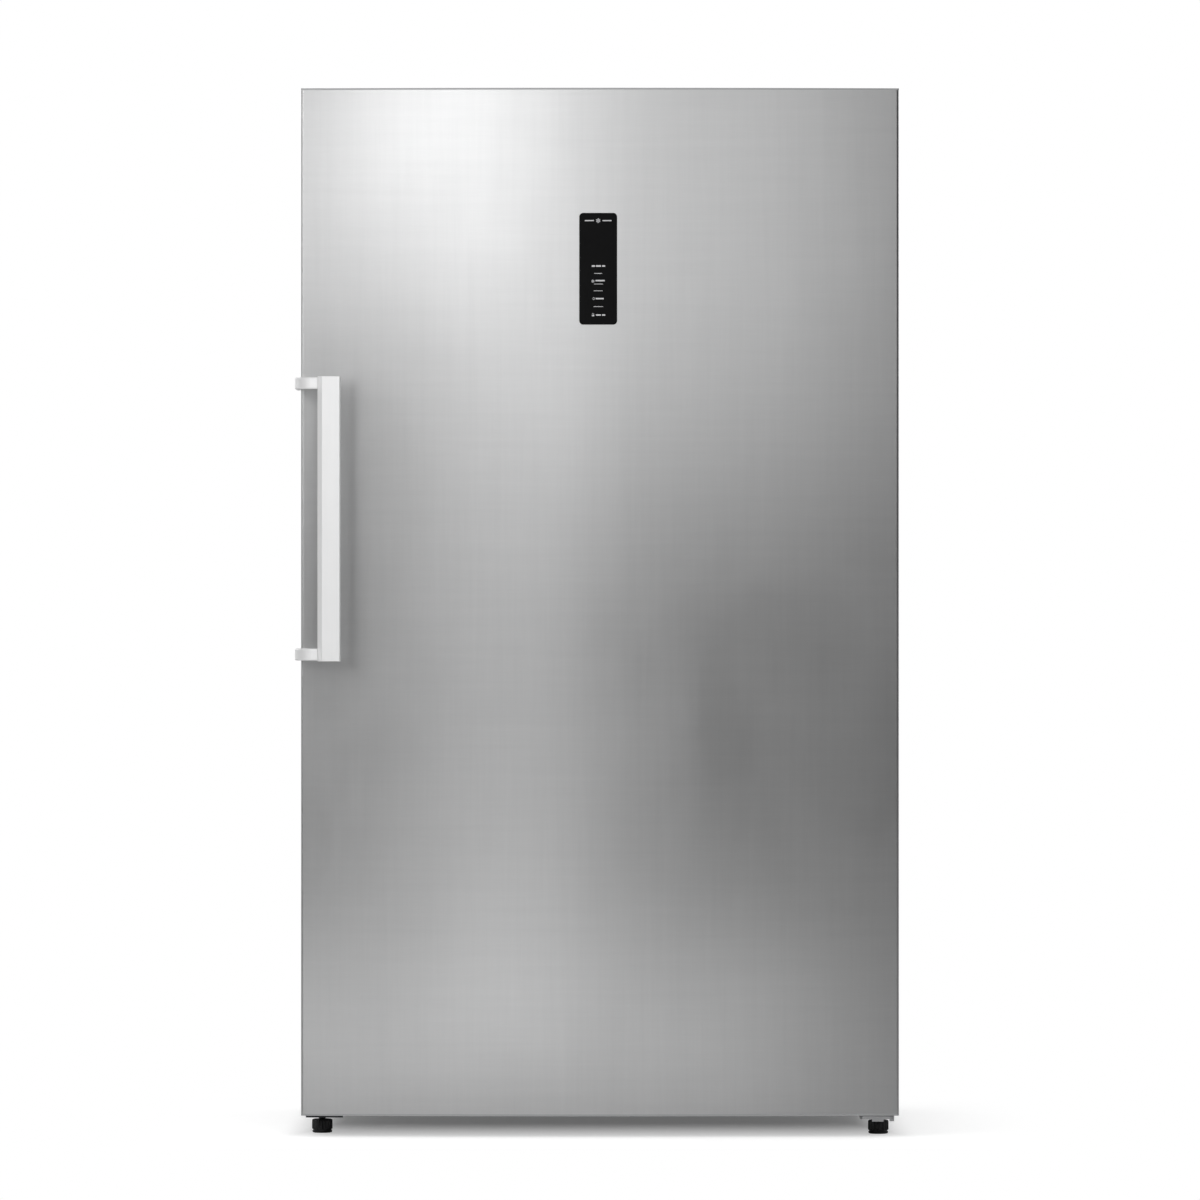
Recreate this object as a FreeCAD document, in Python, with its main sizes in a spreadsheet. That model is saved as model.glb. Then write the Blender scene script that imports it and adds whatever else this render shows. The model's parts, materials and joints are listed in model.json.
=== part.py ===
"""Upright freezer: single arched steel door on the right, wrap-round handle, drawers and shelves inside.

Frame: +Z up from the floor, the door faces -Y, the handle is at -X and the hinges are at +X.
The origin is on the floor under the middle of the whole freezer. All sizes are in millimetres.
"""
import FreeCAD, Part
import math
import os
import re

import Sketcher

# ---------------------------------------------------------------- driving sizes
SIZES = {
    # door
    "door_width": 830,
    "door_height": 1426,
    "door_floor_gap": 30,
    "door_depth": 62,
    "door_arch": 13,
    "door_edge_radius": 3.5,
    "skin": 0.6,
    "skin_return": 14,
    "cap_lip": 2.5,
    "cap_wall": 2.5,
    "liner_wall": 2,
    "gasket_gap": 12,
    "gasket_width": 24,
    "gasket_inset": 23,
    # ribs of the door liner and the bins between them
    "rib_width": 26,
    "rib_reach": 72,
    "rib_clearance": 12,
    "bin_reach": 92,
    "bin_height": 108,
    "bin_wall": 2.5,
    "bin_clearance": 0.3,
    "bin_first": 38,
    "bin_pitch": 312,
    # control panel
    "panel_width": 52.6,
    "panel_height": 155,
    "panel_offset": -2.5,
    "panel_centre": 1205,
    "panel_radius": 5.5,
    "panel_thick": 2.4,
    "panel_proud": 0.3,
    "board_thick": 1.6,
    "board_margin": 4,
    "board_pocket": 12,
    # handle
    "handle_length": 394,
    "handle_bottom": 661,
    "handle_gap": 40,
    "bar_width": 31.6,
    "bar_depth": 16,
    "bar_facet": 6.5,
    "bar_inset": 24.5,
    "bracket_thick": 7.5,
    "bracket_height": 16.6,
    "bracket_foot": 36,
    "bracket_setback": 1.5,
    "handle_screw_radius": 3.4,
    # cabinet
    "cabinet_inset": 2,
    "cabinet_depth": 620,
    "cabinet_floor_gap": 36,
    "top_step": 14,
    "sheet": 0.8,
    "face_flange": 49,
    "rear_flange": 15,
    "side_wall": 75,
    "back_wall": 75,
    "top_wall": 79,
    "floor_wall": 65,
    "cavity_radius": 22,
    "mouth_radius": 4,
    "beam_depth": 60,
    "beam_height": 26,
    "beam_sheet": 1.5,
    "bay_depth": 230,
    "bay_height": 214,
    "bay_wall": 60,
    "pan_sheet": 1,
    "rear_sheet": 1.2,
    # hinges
    "hinge_inset": 22,
    "hinge_forward": 45,
    "hinge_plate": 4,
    "pin_radius": 5,
    "pin_clearance": 0.06,
    "pin_depth": 22,
    "bush_wall": 3,
    "arm_half": 11,
    "arm_clearance": 2,
    "collar_radius": 8,
    "hinge_slack": 0.3,
    # feet and rollers
    "foot_inset": 24,
    "foot_radius": 14.35,
    "foot_height": 19.5,
    "foot_stud": 5,
    "thread_clearance": 0.06,
    "left_foot_back": 38,
    "right_foot_back": 14,
    "roller_radius": 15,
    "roller_width": 14,
    "axle_radius": 3,
    "axle_clearance": 0.06,
    # inside
    "duct_depth": 78,
    "cover_sheet": 3,
    "store_setback": 112,
    "store_end": 6,
    "rail_width": 14,
    "rail_height": 10,
    "shelf_glass": 4,
    "shelf_side_gap": 5,
    "shelf_rise": 23,
    "shelf_pitch": 265,
    "trim_height": 18,
    "trim_depth": 12,
    "drawer_wall": 2.5,
    "drawer_gap": 2,
    "drawer_rise": 4,
    "lower_drawer_height": 190,
    "upper_drawer_height": 205,
    "upper_drawer_rise": 27,
    "seat_gap": 0.3,
    # machine bay
    "tray_rise": 4,
    "tray_sheet": 2,
    "compressor_radius": 74,
    "compressor_height": 150,
    "mount_height": 15,
    "fan_radius": 66,
    "fan_shaft": 2.5,
    "tube_radius": 3,
    "evaporator_half": 262,
    "evaporator_height": 230,
    "evaporator_rise": 310,
}

# ------------------------------------------------- places worked out from them
PLACES = {
    "door_half": "door_width / 2",
    "door_top": "door_floor_gap + door_height",
    "reach": "gasket_gap + door_depth + handle_gap + bar_depth",
    "face_y": "(reach - cabinet_depth) / 2",
    "rear_y": "face_y + cabinet_depth",
    "door_back_y": "face_y - gasket_gap",
    "door_edge_y": "door_back_y - door_depth",
    "door_apex_y": "door_edge_y - door_arch",
    "skin_bottom": "door_floor_gap + cap_lip",
    "skin_top": "door_top - cap_lip",
    "half": "door_half - cabinet_inset",
    "cabinet_top": "door_top - top_step",
    "inner_half": "half - sheet",
    "face_half": "half - face_flange",
    "face_top": "cabinet_top - face_flange",
    "face_bottom": "cabinet_floor_gap + face_flange",
    "cavity_half": "half - side_wall",
    "cavity_top": "cabinet_top - top_wall",
    "cavity_floor": "cabinet_floor_gap + floor_wall",
    "cavity_back_y": "rear_y - back_wall",
    "bay_y": "rear_y - bay_depth",
    "bay_top": "cabinet_floor_gap + bay_height",
    "hump_y": "bay_y - bay_wall",
    "hump_top": "bay_top + bay_wall",
    "hinge_x": "door_half - hinge_inset",
    "hinge_y": "face_y - hinge_forward",
    "notch_floor": "cabinet_top - arm_clearance",
    "notch_x": "hinge_x - arm_half - arm_clearance",
    "notch_y": "door_edge_y + skin + cap_wall",
    "cover_y": "cavity_back_y - duct_depth",
    "store_y": "face_y + store_setback",
    "store_back_y": "cover_y - store_end",
    "upper_drawer_z": "hump_top + upper_drawer_rise",
    "first_shelf_z": "upper_drawer_z + upper_drawer_height + shelf_rise",
    "rail_x": "cavity_half - rail_width",
    "rib_half": "cavity_half - rib_clearance",
    "rib_y": "door_back_y + rib_reach",
    "rib_top": "cavity_top - rib_clearance",
    "rib_bottom": "cavity_floor + rib_clearance",
    "bar_left_x": "bar_inset - door_half",
    "bar_right_x": "bar_left_x + bar_width",
    "bar_back_y": "door_edge_y - handle_gap",
    "bar_front_y": "bar_back_y - bar_depth",
    "bracket_x": "-door_half - bracket_thick",
    "elbow": "bar_left_x - bracket_x",
    "elbow_y": "bar_front_y + bracket_setback + elbow",
    "panel_front_y": "door_apex_y - panel_proud",
    "tray_top": "cabinet_floor_gap + tray_rise + tray_sheet",
    "foot_x": "half - foot_inset",
}

doc = FreeCAD.newDocument("UprightFreezer")
sheet = doc.addObject("Spreadsheet::Sheet", "Sizes")
nodes = []


def fill_sheet():
    """One row per driving size: its name beside its value, which carries the name as alias."""
    for row, (name, size) in enumerate(SIZES.items(), start=1):
        sheet.set(f"A{row}", name)
        sheet.set(f"B{row}", str(size))
        sheet.setAlias(f"B{row}", name)
    doc.recompute()


def full(formula):
    """The formula with each size named as a cell and each place written out."""

    def swap(match):
        word = match.group(0)
        if word in PLACES:
            return "(" + full(PLACES[word]) + ")"
        return "Sizes." + word if word in SIZES else word

    return re.sub(r"[a-z_]+", swap, str(formula))


def value(formula):
    return float(sheet.evalExpression(full(formula)))


def bind(thing, name, formula):
    thing.setExpression(name, full(formula))


# ------------------------------------------------------------- modelling helpers
AXES = {"X": FreeCAD.Vector(1, 0, 0), "Y": FreeCAD.Vector(0, 1, 0), "Z": FreeCAD.Vector(0, 0, 1)}


def new_body(label):
    body = doc.addObject("PartDesign::Body", label)
    body.Label = label
    nodes.append(body)
    return body


def new_sketch(body, plane, level, height="0"):
    """A sketch on one of the body's own planes, moved to a level and, in its plane, up to a height."""
    sketch = body.newObject("Sketcher::SketchObject", body.Name + "_sketch")
    origin_plane = next(f for f in body.Origin.OriginFeatures if f.Role == plane + "_Plane")
    sketch.AttachmentSupport = [(origin_plane, "")]
    sketch.MapMode = "FlatFace"
    toward = "-" if plane == "XZ" else ""
    bind(sketch, "AttachmentOffset.Base.z", f"{toward}({level})")
    bind(sketch, "AttachmentOffset.Base.y", height)
    return sketch


def place_point(sketch, geometry, end, across, up):
    """Ties one point of the sketch to its two formulas, measured from the sketch's origin."""
    for kind, formula in (("DistanceX", across), ("DistanceY", up)):
        tie = sketch.addConstraint(Sketcher.Constraint(kind, -1, 1, geometry, end, value(formula)))
        bind(sketch, f"Constraints[{tie}]", formula)


def draw_loop(sketch, corners):
    """A closed loop. A corner is (across, up); (across, up, "arc") is a point the side bows through."""
    fixed = [c for c in corners if len(c) == 2]
    first = sketch.GeometryCount
    spots = [FreeCAD.Vector(value(a), value(u), 0) for a, u in fixed]
    bows = {}
    for place, corner in enumerate(corners):
        if len(corner) == 3:
            bows[len([c for c in corners[:place] if len(c) == 2]) - 1] = corner
    count = len(fixed)
    for side in range(count):
        start, stop = spots[side], spots[(side + 1) % count]
        if side in bows:
            middle = FreeCAD.Vector(value(bows[side][0]), value(bows[side][1]), 0)
            sketch.addGeometry(Part.Arc(start, middle, stop), False)
        else:
            sketch.addGeometry(Part.LineSegment(start, stop), False)
    heads, tails = arc_ends(sketch, first, spots)
    for side in range(count):
        after = (side + 1) % count
        tie = Sketcher.Constraint("Coincident", first + side, tails[side], first + after, heads[after])
        sketch.addConstraint(tie)
        place_point(sketch, first + side, heads[side], *fixed[side])
    for side, corner in bows.items():
        middle = FreeCAD.Vector(value(corner[0]), value(corner[1]), 0)
        mark = sketch.addGeometry(Part.Point(middle), True)
        place_point(sketch, mark, 1, corner[0], corner[1])
        sketch.addConstraint(Sketcher.Constraint("PointOnObject", mark, 1, first + side))


def arc_ends(sketch, first, spots):
    """An arc is always stored anticlockwise, so its start can be either end of its side."""
    heads, tails = [], []
    for side, spot in enumerate(spots):
        starts_here = sketch.getPoint(first + side, 1).distanceToPoint(spot) < 1e-6
        heads.append(1 if starts_here else 2)
        tails.append(2 if starts_here else 1)
    return heads, tails


def draw_circle(sketch, across, up, radius):
    centre = FreeCAD.Vector(value(across), value(up), 0)
    ring = sketch.addGeometry(Part.Circle(centre, AXES["Z"], value(radius)), False)
    place_point(sketch, ring, 3, across, up)
    tie = sketch.addConstraint(Sketcher.Constraint("Radius", ring, value(radius)))
    bind(sketch, f"Constraints[{tie}]", radius)


def rectangle(left, right, low, high):
    return [(left, low), (right, low), (right, high), (left, high)]


def rounded(left, right, low, high, radius):
    """A rectangle with round corners, each bowed through the middle of its quarter circle."""
    cut = f"({radius}) * (1 - sqrt(0.5))"
    return [
        (f"{left} + {radius}", low), (f"{right} - {radius}", low),
        (f"{right} - {cut}", f"{low} + {cut}", "arc"),
        (right, f"{low} + {radius}"), (right, f"{high} - {radius}"),
        (f"{right} - {cut}", f"{high} - {cut}", "arc"),
        (f"{right} - {radius}", high), (f"{left} + {radius}", high),
        (f"{left} + {cut}", f"{high} - {cut}", "arc"),
        (left, f"{high} - {radius}"), (left, f"{low} + {radius}"),
        (f"{left} + {cut}", f"{low} + {cut}", "arc"),
    ]


def prism(body, plane, loops, low, high, remove=False, height="0"):
    """Adds, or removes, the loops' shape between two levels along the plane's world axis."""
    grows_down = (plane == "XZ") != remove
    sketch = new_sketch(body, plane, high if grows_down else low, height)
    for shape in loops:
        if shape[0] == "circle":
            draw_circle(sketch, *shape[1:])
        else:
            draw_loop(sketch, shape)
    before = body.Shape.Volume if body.Tip else 0
    feature = body.newObject("PartDesign::Pocket" if remove else "PartDesign::Pad", body.Name + "_prism")
    feature.Profile = sketch
    bind(feature, "Length", f"({high}) - ({low})")
    doc.recompute()
    change = body.Shape.Volume - before
    if (change >= 0) if remove else (change <= 0):
        raise RuntimeError(f"{body.Label}: a prism changed nothing")
    return feature


def revolve(body, plane, corners, axis_at):
    """Adds the loop turned about the plane's upright line through axis_at, a formula pair in X and Y."""
    sketch = new_sketch(body, plane, "0")
    draw_loop(sketch, corners)
    feature = body.newObject("PartDesign::Revolution", body.Name + "_turn")
    feature.Profile = sketch
    feature.ReferenceAxis = (sketch, ["V_Axis"])
    doc.recompute()
    bind(body, "Placement.Base.x", axis_at[0])
    bind(body, "Placement.Base.y", axis_at[1])
    return feature


def edges_along(shape, axis, *spots):
    """Names of the straight edges along an axis whose two other coordinates match one of the spots."""
    others = [i for i in range(3) if "XYZ"[i] != axis]
    wanted = [tuple(value(f) for f in spot) for spot in spots]
    names = []
    for number, edge in enumerate(shape.Edges, start=1):
        run = edge.Vertexes[-1].Point - edge.Vertexes[0].Point
        if edge.Curve.TypeId != "Part::GeomLine" or run.cross(AXES[axis]).Length > 1e-4:
            continue
        middle = edge.CenterOfMass
        if any(max(abs(middle[o] - w) for o, w in zip(others, spot)) < 0.05 for spot in wanted):
            names.append(f"Edge{number}")
    return names


def edges_level(shape, axis, level, inside=None):
    """Names of the edges that lie in one plane across an axis, kept by a test of their middle."""
    place = "XYZ".index(axis)
    height = value(level)
    names = []
    for number, edge in enumerate(shape.Edges, start=1):
        limits = edge.BoundBox
        low = (limits.XMin, limits.YMin, limits.ZMin)[place]
        high = (limits.XMax, limits.YMax, limits.ZMax)[place]
        level_here = max(abs(low - height), abs(high - height)) < 0.01
        if level_here and (inside is None or inside(edge.CenterOfMass)):
            names.append(f"Edge{number}")
    return names


def round_off(body, names, radius):
    if not names:
        raise RuntimeError(f"{body.Label}: no edge to round")
    base = body.Tip
    fillet = body.newObject("PartDesign::Fillet", body.Name + "_fillet")
    fillet.Base = (base, names)
    bind(fillet, "Radius", radius)
    doc.recompute()
    if "Invalid" in fillet.State:
        raise RuntimeError(f"{body.Label}: a fillet failed")


def box(name, across, along, up):
    """A block between pairs of formulas in X, Y and Z."""
    block = doc.addObject("Part::Box", name)
    for size, base, (low, high) in zip(("Length", "Width", "Height"), "xyz", (across, along, up)):
        bind(block, size, f"({high}) - ({low})")
        bind(block, "Placement.Base." + base, low)
    return block


TURNS = {"X": FreeCAD.Rotation(AXES["Y"], 90), "Y": FreeCAD.Rotation(AXES["X"], -90), "Z": FreeCAD.Rotation()}


def rod(name, axis, radius, centre, low, high):
    """A round bar along an axis between two levels. The centre gives its other two coordinates."""
    bar = doc.addObject("Part::Cylinder", name)
    bar.Placement = FreeCAD.Placement(FreeCAD.Vector(), TURNS[axis])
    bind(bar, "Radius", radius)
    bind(bar, "Height", f"({high}) - ({low})")
    spots = dict(zip([a for a in "XYZ" if a != axis], centre))
    spots[axis] = low
    for letter, spot in spots.items():
        bind(bar, "Placement.Base." + letter.lower(), spot)
    return bar


def join(name, pieces):
    whole = doc.addObject("Part::MultiFuse", name)
    whole.Shapes = pieces
    return whole


def cut(name, base, tools):
    less = doc.addObject("Part::Cut", name)
    less.Base = base
    less.Tool = join(name + "_tools", tools) if len(tools) > 1 else tools[0]
    return less


def group(name, pieces):
    """Separate solids that share one node."""
    together = doc.addObject("Part::Compound", name)
    together.Links = pieces
    return together


def finish(thing, label):
    thing.Label = label
    nodes.append(thing)
    return thing


def slot(left, right, low, high):
    """A lying slot whose ends are half circles."""
    reach, middle = f"(({high}) - ({low})) / 2", f"(({high}) + ({low})) / 2"
    return [
        (f"{left} + {reach}", low), (f"{right} - {reach}", low), (right, middle, "arc"),
        (f"{right} - {reach}", high), (f"{left} + {reach}", high), (left, middle, "arc"),
    ]


def repeat_up(body, feature, count, length):
    """Repeats a cut upward along its sketch's own vertical, over a length in all."""
    pattern = body.newObject("PartDesign::LinearPattern", body.Name + "_rows")
    pattern.Originals = [feature]
    pattern.Direction = (feature.Profile[0], ["V_Axis"])
    bind(pattern, "Length", length)
    pattern.Occurrences = count
    body.Tip = pattern
    doc.recompute()


def minus(formula):
    return f"-({formula})"


# ---------------------------------------------------------------- cabinet shell
def side_panel(label, side):
    """Folded steel side: a flange at the front for the gasket and a narrow one at the back."""
    edges = [
        ("half", "face_y"), ("half", "rear_y"), ("half - rear_flange", "rear_y"),
        ("half - rear_flange", "rear_y - sheet"), ("inner_half", "rear_y - sheet"),
        ("inner_half", "face_y + sheet"), ("face_half", "face_y + sheet"), ("face_half", "face_y"),
    ]
    body = new_body(label)
    outline = [(f"{side} * ({x})", y) for x, y in edges]
    prism(body, "XY", [outline], "cabinet_floor_gap", "cabinet_top - sheet")
    corner = edges_along(body.Tip.Shape, "Z", (f"{side} * half", "face_y"))
    round_off(body, corner, "sheet * 1.5")


def top_panel():
    body = new_body("top_panel")
    prism(body, "XY", [rectangle("-half", "half", "face_y", "rear_y")], "cabinet_top - sheet", "cabinet_top")
    flange = rectangle("-face_half", "face_half", "face_y", "face_y + sheet")
    prism(body, "XY", [flange], "face_top", "cabinet_top - sheet")


def back_panel():
    body = new_body("back_panel")
    reach = "half - rear_flange / 3"
    outline = rectangle(minus(reach), reach, "bay_top + 4", "cabinet_top - 4")
    prism(body, "XZ", [outline], "rear_y", "rear_y + sheet")
    bead = rounded("60 - half", "half - 60", "bay_top + 70", "cabinet_top - 70", "20")
    prism(body, "XZ", [bead], "rear_y + sheet", "rear_y + sheet * 3")
    rim = edges_level(body.Tip.Shape, "Y", "rear_y + sheet * 3")
    round_off(body, rim, "sheet * 1.5")


def front_beam():
    """Channel across the bottom: its face takes the gasket and its flanges take feet and hinge."""
    body = new_body("front_beam")
    face = rectangle("-face_half", "face_half", "cabinet_floor_gap", "face_bottom")
    prism(body, "XZ", [face], "face_y", "face_y + beam_sheet")
    for low in ("cabinet_floor_gap", "cabinet_floor_gap + beam_height - beam_sheet"):
        inner = rectangle("-inner_half", "inner_half", "face_y + beam_sheet", "face_y + beam_depth")
        prism(body, "XY", [inner], low, f"{low} + beam_sheet")
    studs = [("circle", x, y, "foot_stud + 1") for x, y in FOOT_SPOTS.values()]
    prism(body, "XY", studs, "cabinet_floor_gap - 1", "cabinet_floor_gap + beam_sheet + 1", remove=True)


def base_pan():
    """Stepped sheet that closes the foam below and roofs the machine bay."""
    body = new_body("base_pan")
    steps = [
        ("face_y + beam_depth", "cabinet_floor_gap"), ("bay_y", "cabinet_floor_gap"), ("bay_y", "bay_top"),
        ("rear_y - sheet", "bay_top"), ("rear_y - sheet", "bay_top + pan_sheet"),
        ("bay_y - pan_sheet", "bay_top + pan_sheet"), ("bay_y - pan_sheet", "cabinet_floor_gap + pan_sheet"),
        ("face_y + beam_depth", "cabinet_floor_gap + pan_sheet"),
    ]
    prism(body, "YZ", [steps], "-inner_half", "inner_half")


def cavity_outline(grown):
    """Side view of the food space with its step over the machine bay, grown outward by a wall."""
    return [
        ("face_y", f"cavity_floor - {grown}"), (f"hump_y + {grown}", f"cavity_floor - {grown}"),
        (f"hump_y + {grown}", f"hump_top - {grown}"), (f"cavity_back_y + {grown}", f"hump_top - {grown}"),
        (f"cavity_back_y + {grown}", f"cavity_top + {grown}"), ("face_y", f"cavity_top + {grown}"),
    ]


def cabinet_foam():
    body = new_body("cabinet_foam")
    outside = [
        ("face_y + liner_wall", "cabinet_floor_gap + beam_height"),
        ("face_y + beam_depth", "cabinet_floor_gap + beam_height"),
        ("face_y + beam_depth", "cabinet_floor_gap + pan_sheet"),
        ("bay_y - pan_sheet", "cabinet_floor_gap + pan_sheet"), ("bay_y - pan_sheet", "bay_top + pan_sheet"),
        ("rear_y - sheet", "bay_top + pan_sheet"), ("rear_y - sheet", "cabinet_top - sheet"),
        ("face_y + liner_wall", "cabinet_top - sheet"),
    ]
    prism(body, "YZ", [outside], "-inner_half", "inner_half")
    side = "cavity_half + liner_wall"
    prism(body, "YZ", [cavity_outline("liner_wall")], minus(side), side, remove=True)


def inner_liner():
    """Formed plastic tub with a flange that meets the steel face of the cabinet."""
    body = new_body("inner_liner")
    side = "cavity_half + liner_wall"
    prism(body, "YZ", [cavity_outline("liner_wall")], minus(side), side)
    flange = rectangle("-face_half", "face_half", "face_bottom", "face_top")
    prism(body, "XZ", [flange], "face_y", "face_y + liner_wall")
    prism(body, "YZ", [cavity_outline("0")], "-cavity_half", "cavity_half", remove=True)
    corners = [
        (f"{side} * cavity_half", level)
        for side in ("1", "-1")
        for level in ("cavity_floor", "cavity_top", "hump_top")
    ]
    round_off(body, edges_along(body.Tip.Shape, "Y", *corners), "cavity_radius")

    def at_mouth(middle):
        between = value("cavity_floor") - 1 < middle.z < value("cavity_top") + 1
        return between and abs(middle.x) < value("cavity_half") + 1

    round_off(body, edges_level(body.Tip.Shape, "Y", "face_y", at_mouth), "mouth_radius")


# ----------------------------------------------------------------------- hinges
def upper_hinge():
    """Plate on the cabinet top with an arm into the door's notch and the pin under its nose."""
    body = new_body("upper_hinge_bracket")
    plate = [
        ("hinge_x - 62", "face_y + 6"), ("hinge_x - arm_half", "face_y + 6"),
        ("hinge_x - arm_half", "hinge_y"), ("hinge_x", "hinge_y - arm_half", "arc"),
        ("hinge_x + arm_half", "hinge_y"), ("hinge_x + arm_half", "face_y + 76"),
        ("hinge_x - 62", "face_y + 76"),
    ]
    holes = [("circle", f"hinge_x - {x}", f"face_y + {y}", "2.6") for x, y in HINGE_SCREWS]
    prism(body, "XY", [plate, *holes], "cabinet_top", "cabinet_top + hinge_plate")
    pin = ("circle", "hinge_x", "hinge_y", "pin_radius")
    prism(body, "XY", [pin], "cabinet_top - pin_depth", "cabinet_top")
    cover = new_body("upper_hinge_cover")
    reach = rectangle("hinge_x - 70", "hinge_x + arm_half + 6", "face_y + 1", "face_y + 86")
    prism(cover, "XY", [reach], "cabinet_top", "door_top - 1")
    top = edges_level(cover.Tip.Shape, "Z", "door_top - 1")
    round_off(cover, top, "3")
    hollow = rectangle("hinge_x - 68", "hinge_x + arm_half + 4", "face_y + 3", "face_y + 84")
    prism(cover, "XY", [hollow], "cabinet_top", "door_top - 3", remove=True)
    arm = rectangle("hinge_x - arm_half - 1", "hinge_x + arm_half + 1", "face_y", "face_y + 4")
    prism(cover, "XY", [arm], "cabinet_top", "cabinet_top + hinge_plate + 1", remove=True)


HINGE_SCREWS = ((48, 20), (48, 62), (4, 62))


def lower_hinge():
    """Cranked plate under the cabinet that carries the door on a collar and takes the right foot."""
    body = new_body("lower_hinge_bracket")
    low = "door_floor_gap - 5.5"
    crank = [
        ("hinge_y - 17", low), ("face_y - 2", low), ("face_y + 6", "cabinet_floor_gap - hinge_plate"),
        ("face_y + beam_depth - 8", "cabinet_floor_gap - hinge_plate"),
        ("face_y + beam_depth - 8", "cabinet_floor_gap"), ("face_y + 4", "cabinet_floor_gap"),
        ("face_y - 4", f"{low} + hinge_plate"), ("hinge_y - 17", f"{low} + hinge_plate"),
    ]
    prism(body, "YZ", [crank], "hinge_x - 31", "hinge_x + 16")
    nose = [("hinge_x - 31", "hinge_y - 17"), ("hinge_x + 16", "hinge_y - 17")]
    round_off(body, edges_along(body.Tip.Shape, "Z", *nose), "6")
    stop = rectangle("hinge_x + 10", "hinge_x + 16", "hinge_y - 8", "hinge_y + 8")
    prism(body, "XY", [stop], f"{low} - 3.5", low)
    tongue = rectangle("hinge_x - 15", "hinge_x + 1", "hinge_y - 16.5", "hinge_y - 13.5")
    prism(body, "XY", [tongue], f"{low} - 3.5", low)
    collar = ("circle", "hinge_x", "hinge_y", "collar_radius")
    prism(body, "XY", [collar], f"{low} + hinge_plate", "door_floor_gap - hinge_slack")
    pin = ("circle", "hinge_x", "hinge_y", "pin_radius")
    prism(body, "XY", [pin], "door_floor_gap - hinge_slack", "door_floor_gap + pin_depth")
    stud = ("circle", *FOOT_SPOTS["foot_right"], "foot_stud + thread_clearance")
    prism(body, "XY", [stud], "cabinet_floor_gap - hinge_plate - 8", "cabinet_floor_gap + 1", remove=True)


def hinge_bushes():
    """Two plastic bushes pressed into the door's end caps, one on each pin."""
    rings = []
    for name, low, high in (
        ("low_bush", "door_floor_gap", "door_floor_gap + pin_depth"),
        ("high_bush", "notch_floor - pin_depth + arm_clearance", "notch_floor"),
    ):
        outer = rod(name + "_outside", "Z", "pin_radius + bush_wall", ("hinge_x", "hinge_y"), low, high)
        hole = rod(name + "_hole", "Z", "pin_radius + pin_clearance", ("hinge_x", "hinge_y"), low, high)
        rings.append(cut(name, outer, [hole]))
    finish(group("bush_pair", rings), "hinge_bushes")


# --------------------------------------------------------------- feet and rollers
FOOT_SPOTS = {
    "foot_left": ("-foot_x", "face_y + left_foot_back"),
    "foot_right": ("foot_x", "face_y + right_foot_back"),
}


def foot(label):
    body = new_body(label)
    outline = [
        ("0", "0"), ("foot_radius - 2", "0"),
        ("foot_radius - 2 * (1 - sqrt(0.5))", "2 * (1 - sqrt(0.5))", "arc"), ("foot_radius", "2"),
        ("foot_radius", "foot_height - 1"), ("foot_radius - 1", "foot_height"),
        ("foot_stud", "foot_height"), ("foot_stud", "cabinet_floor_gap + beam_height - beam_sheet - 6"),
        ("0", "cabinet_floor_gap + beam_height - beam_sheet - 6"),
    ]
    revolve(body, "XZ", outline, FOOT_SPOTS[label])


def foot_bracket():
    """Black steel angle that takes the left foot's stud under the beam."""
    body = new_body("foot_bracket")
    angle = [
        ("face_y + 2", "door_floor_gap - 7"), ("face_y + 5", "door_floor_gap - 7"),
        ("face_y + 5", "cabinet_floor_gap - 4"), ("face_y + beam_depth - 4", "cabinet_floor_gap - 4"),
        ("face_y + beam_depth - 4", "cabinet_floor_gap"), ("face_y + 2", "cabinet_floor_gap"),
    ]
    prism(body, "YZ", [angle], "2 - half", "54 - half")
    stud = ("circle", *FOOT_SPOTS["foot_left"], "foot_stud + thread_clearance")
    prism(body, "XY", [stud], "cabinet_floor_gap - 5", "cabinet_floor_gap + 1", remove=True)


ROLLER_X = "half - 36.5"
ROLLER_Y = "rear_y - 35"


def roller(label, side):
    centre = (ROLLER_Y, "roller_radius")
    inner, outer = f"{side} * ({ROLLER_X}) - roller_width / 2", f"{side} * ({ROLLER_X}) + roller_width / 2"
    wheel = rod(label + "_wheel", "X", "roller_radius", centre, inner, outer)
    hole = rod(label + "_hole", "X", "axle_radius + axle_clearance", centre, inner, outer)
    finish(cut(label, wheel, [hole]), label)


def compressor_tray():
    """Steel tray across the machine bay with upturned edges and an axle for each rear roller."""
    low, top = "cabinet_floor_gap + tray_rise", "tray_top"
    front, back = "bay_y + 2", "rear_y - 3"
    pieces = [box("tray_floor", ("-inner_half", "inner_half"), (front, back), (low, top))]
    for name, along in (("tray_front", (front, front + " + 2")), ("tray_back", (back + " - 2", back))):
        pieces.append(box(name, ("-inner_half", "inner_half"), along, (top, top + " + 12")))
    for side, name in (("1", "right"), ("-1", "left")):
        for order, gap in enumerate(("1", "-1")):
            middle = f"{side} * ({ROLLER_X}) + {gap} * (roller_width / 2 + 2)"
            ear = ((f"{middle} - 1", f"{middle} + 1"), (f"{ROLLER_Y} - 12", f"{ROLLER_Y} + 12"))
            pieces.append(box(f"tray_ear_{name}_{order}", *ear, ("roller_radius - 7", low)))
        wheel_x = f"{side} * ({ROLLER_X})"
        span = (f"{wheel_x} - roller_width / 2 - 4", f"{wheel_x} + roller_width / 2 + 4")
        pieces.append(rod("tray_axle_" + name, "X", "axle_radius", (ROLLER_Y, "roller_radius"), *span))
    finish(join("tray_joined", pieces), "compressor_tray")


# ------------------------------------------------------------------ machine bay
COMPRESSOR_X = "half - 232"
COMPRESSOR_Y = "rear_y - bay_depth / 2"
MOUNT_SPOTS = [(x, y) for x in ("-62", "62") for y in ("-72", "72")]
FAN_X = "-34"
FAN_Z = "tray_top + 96"


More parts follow.
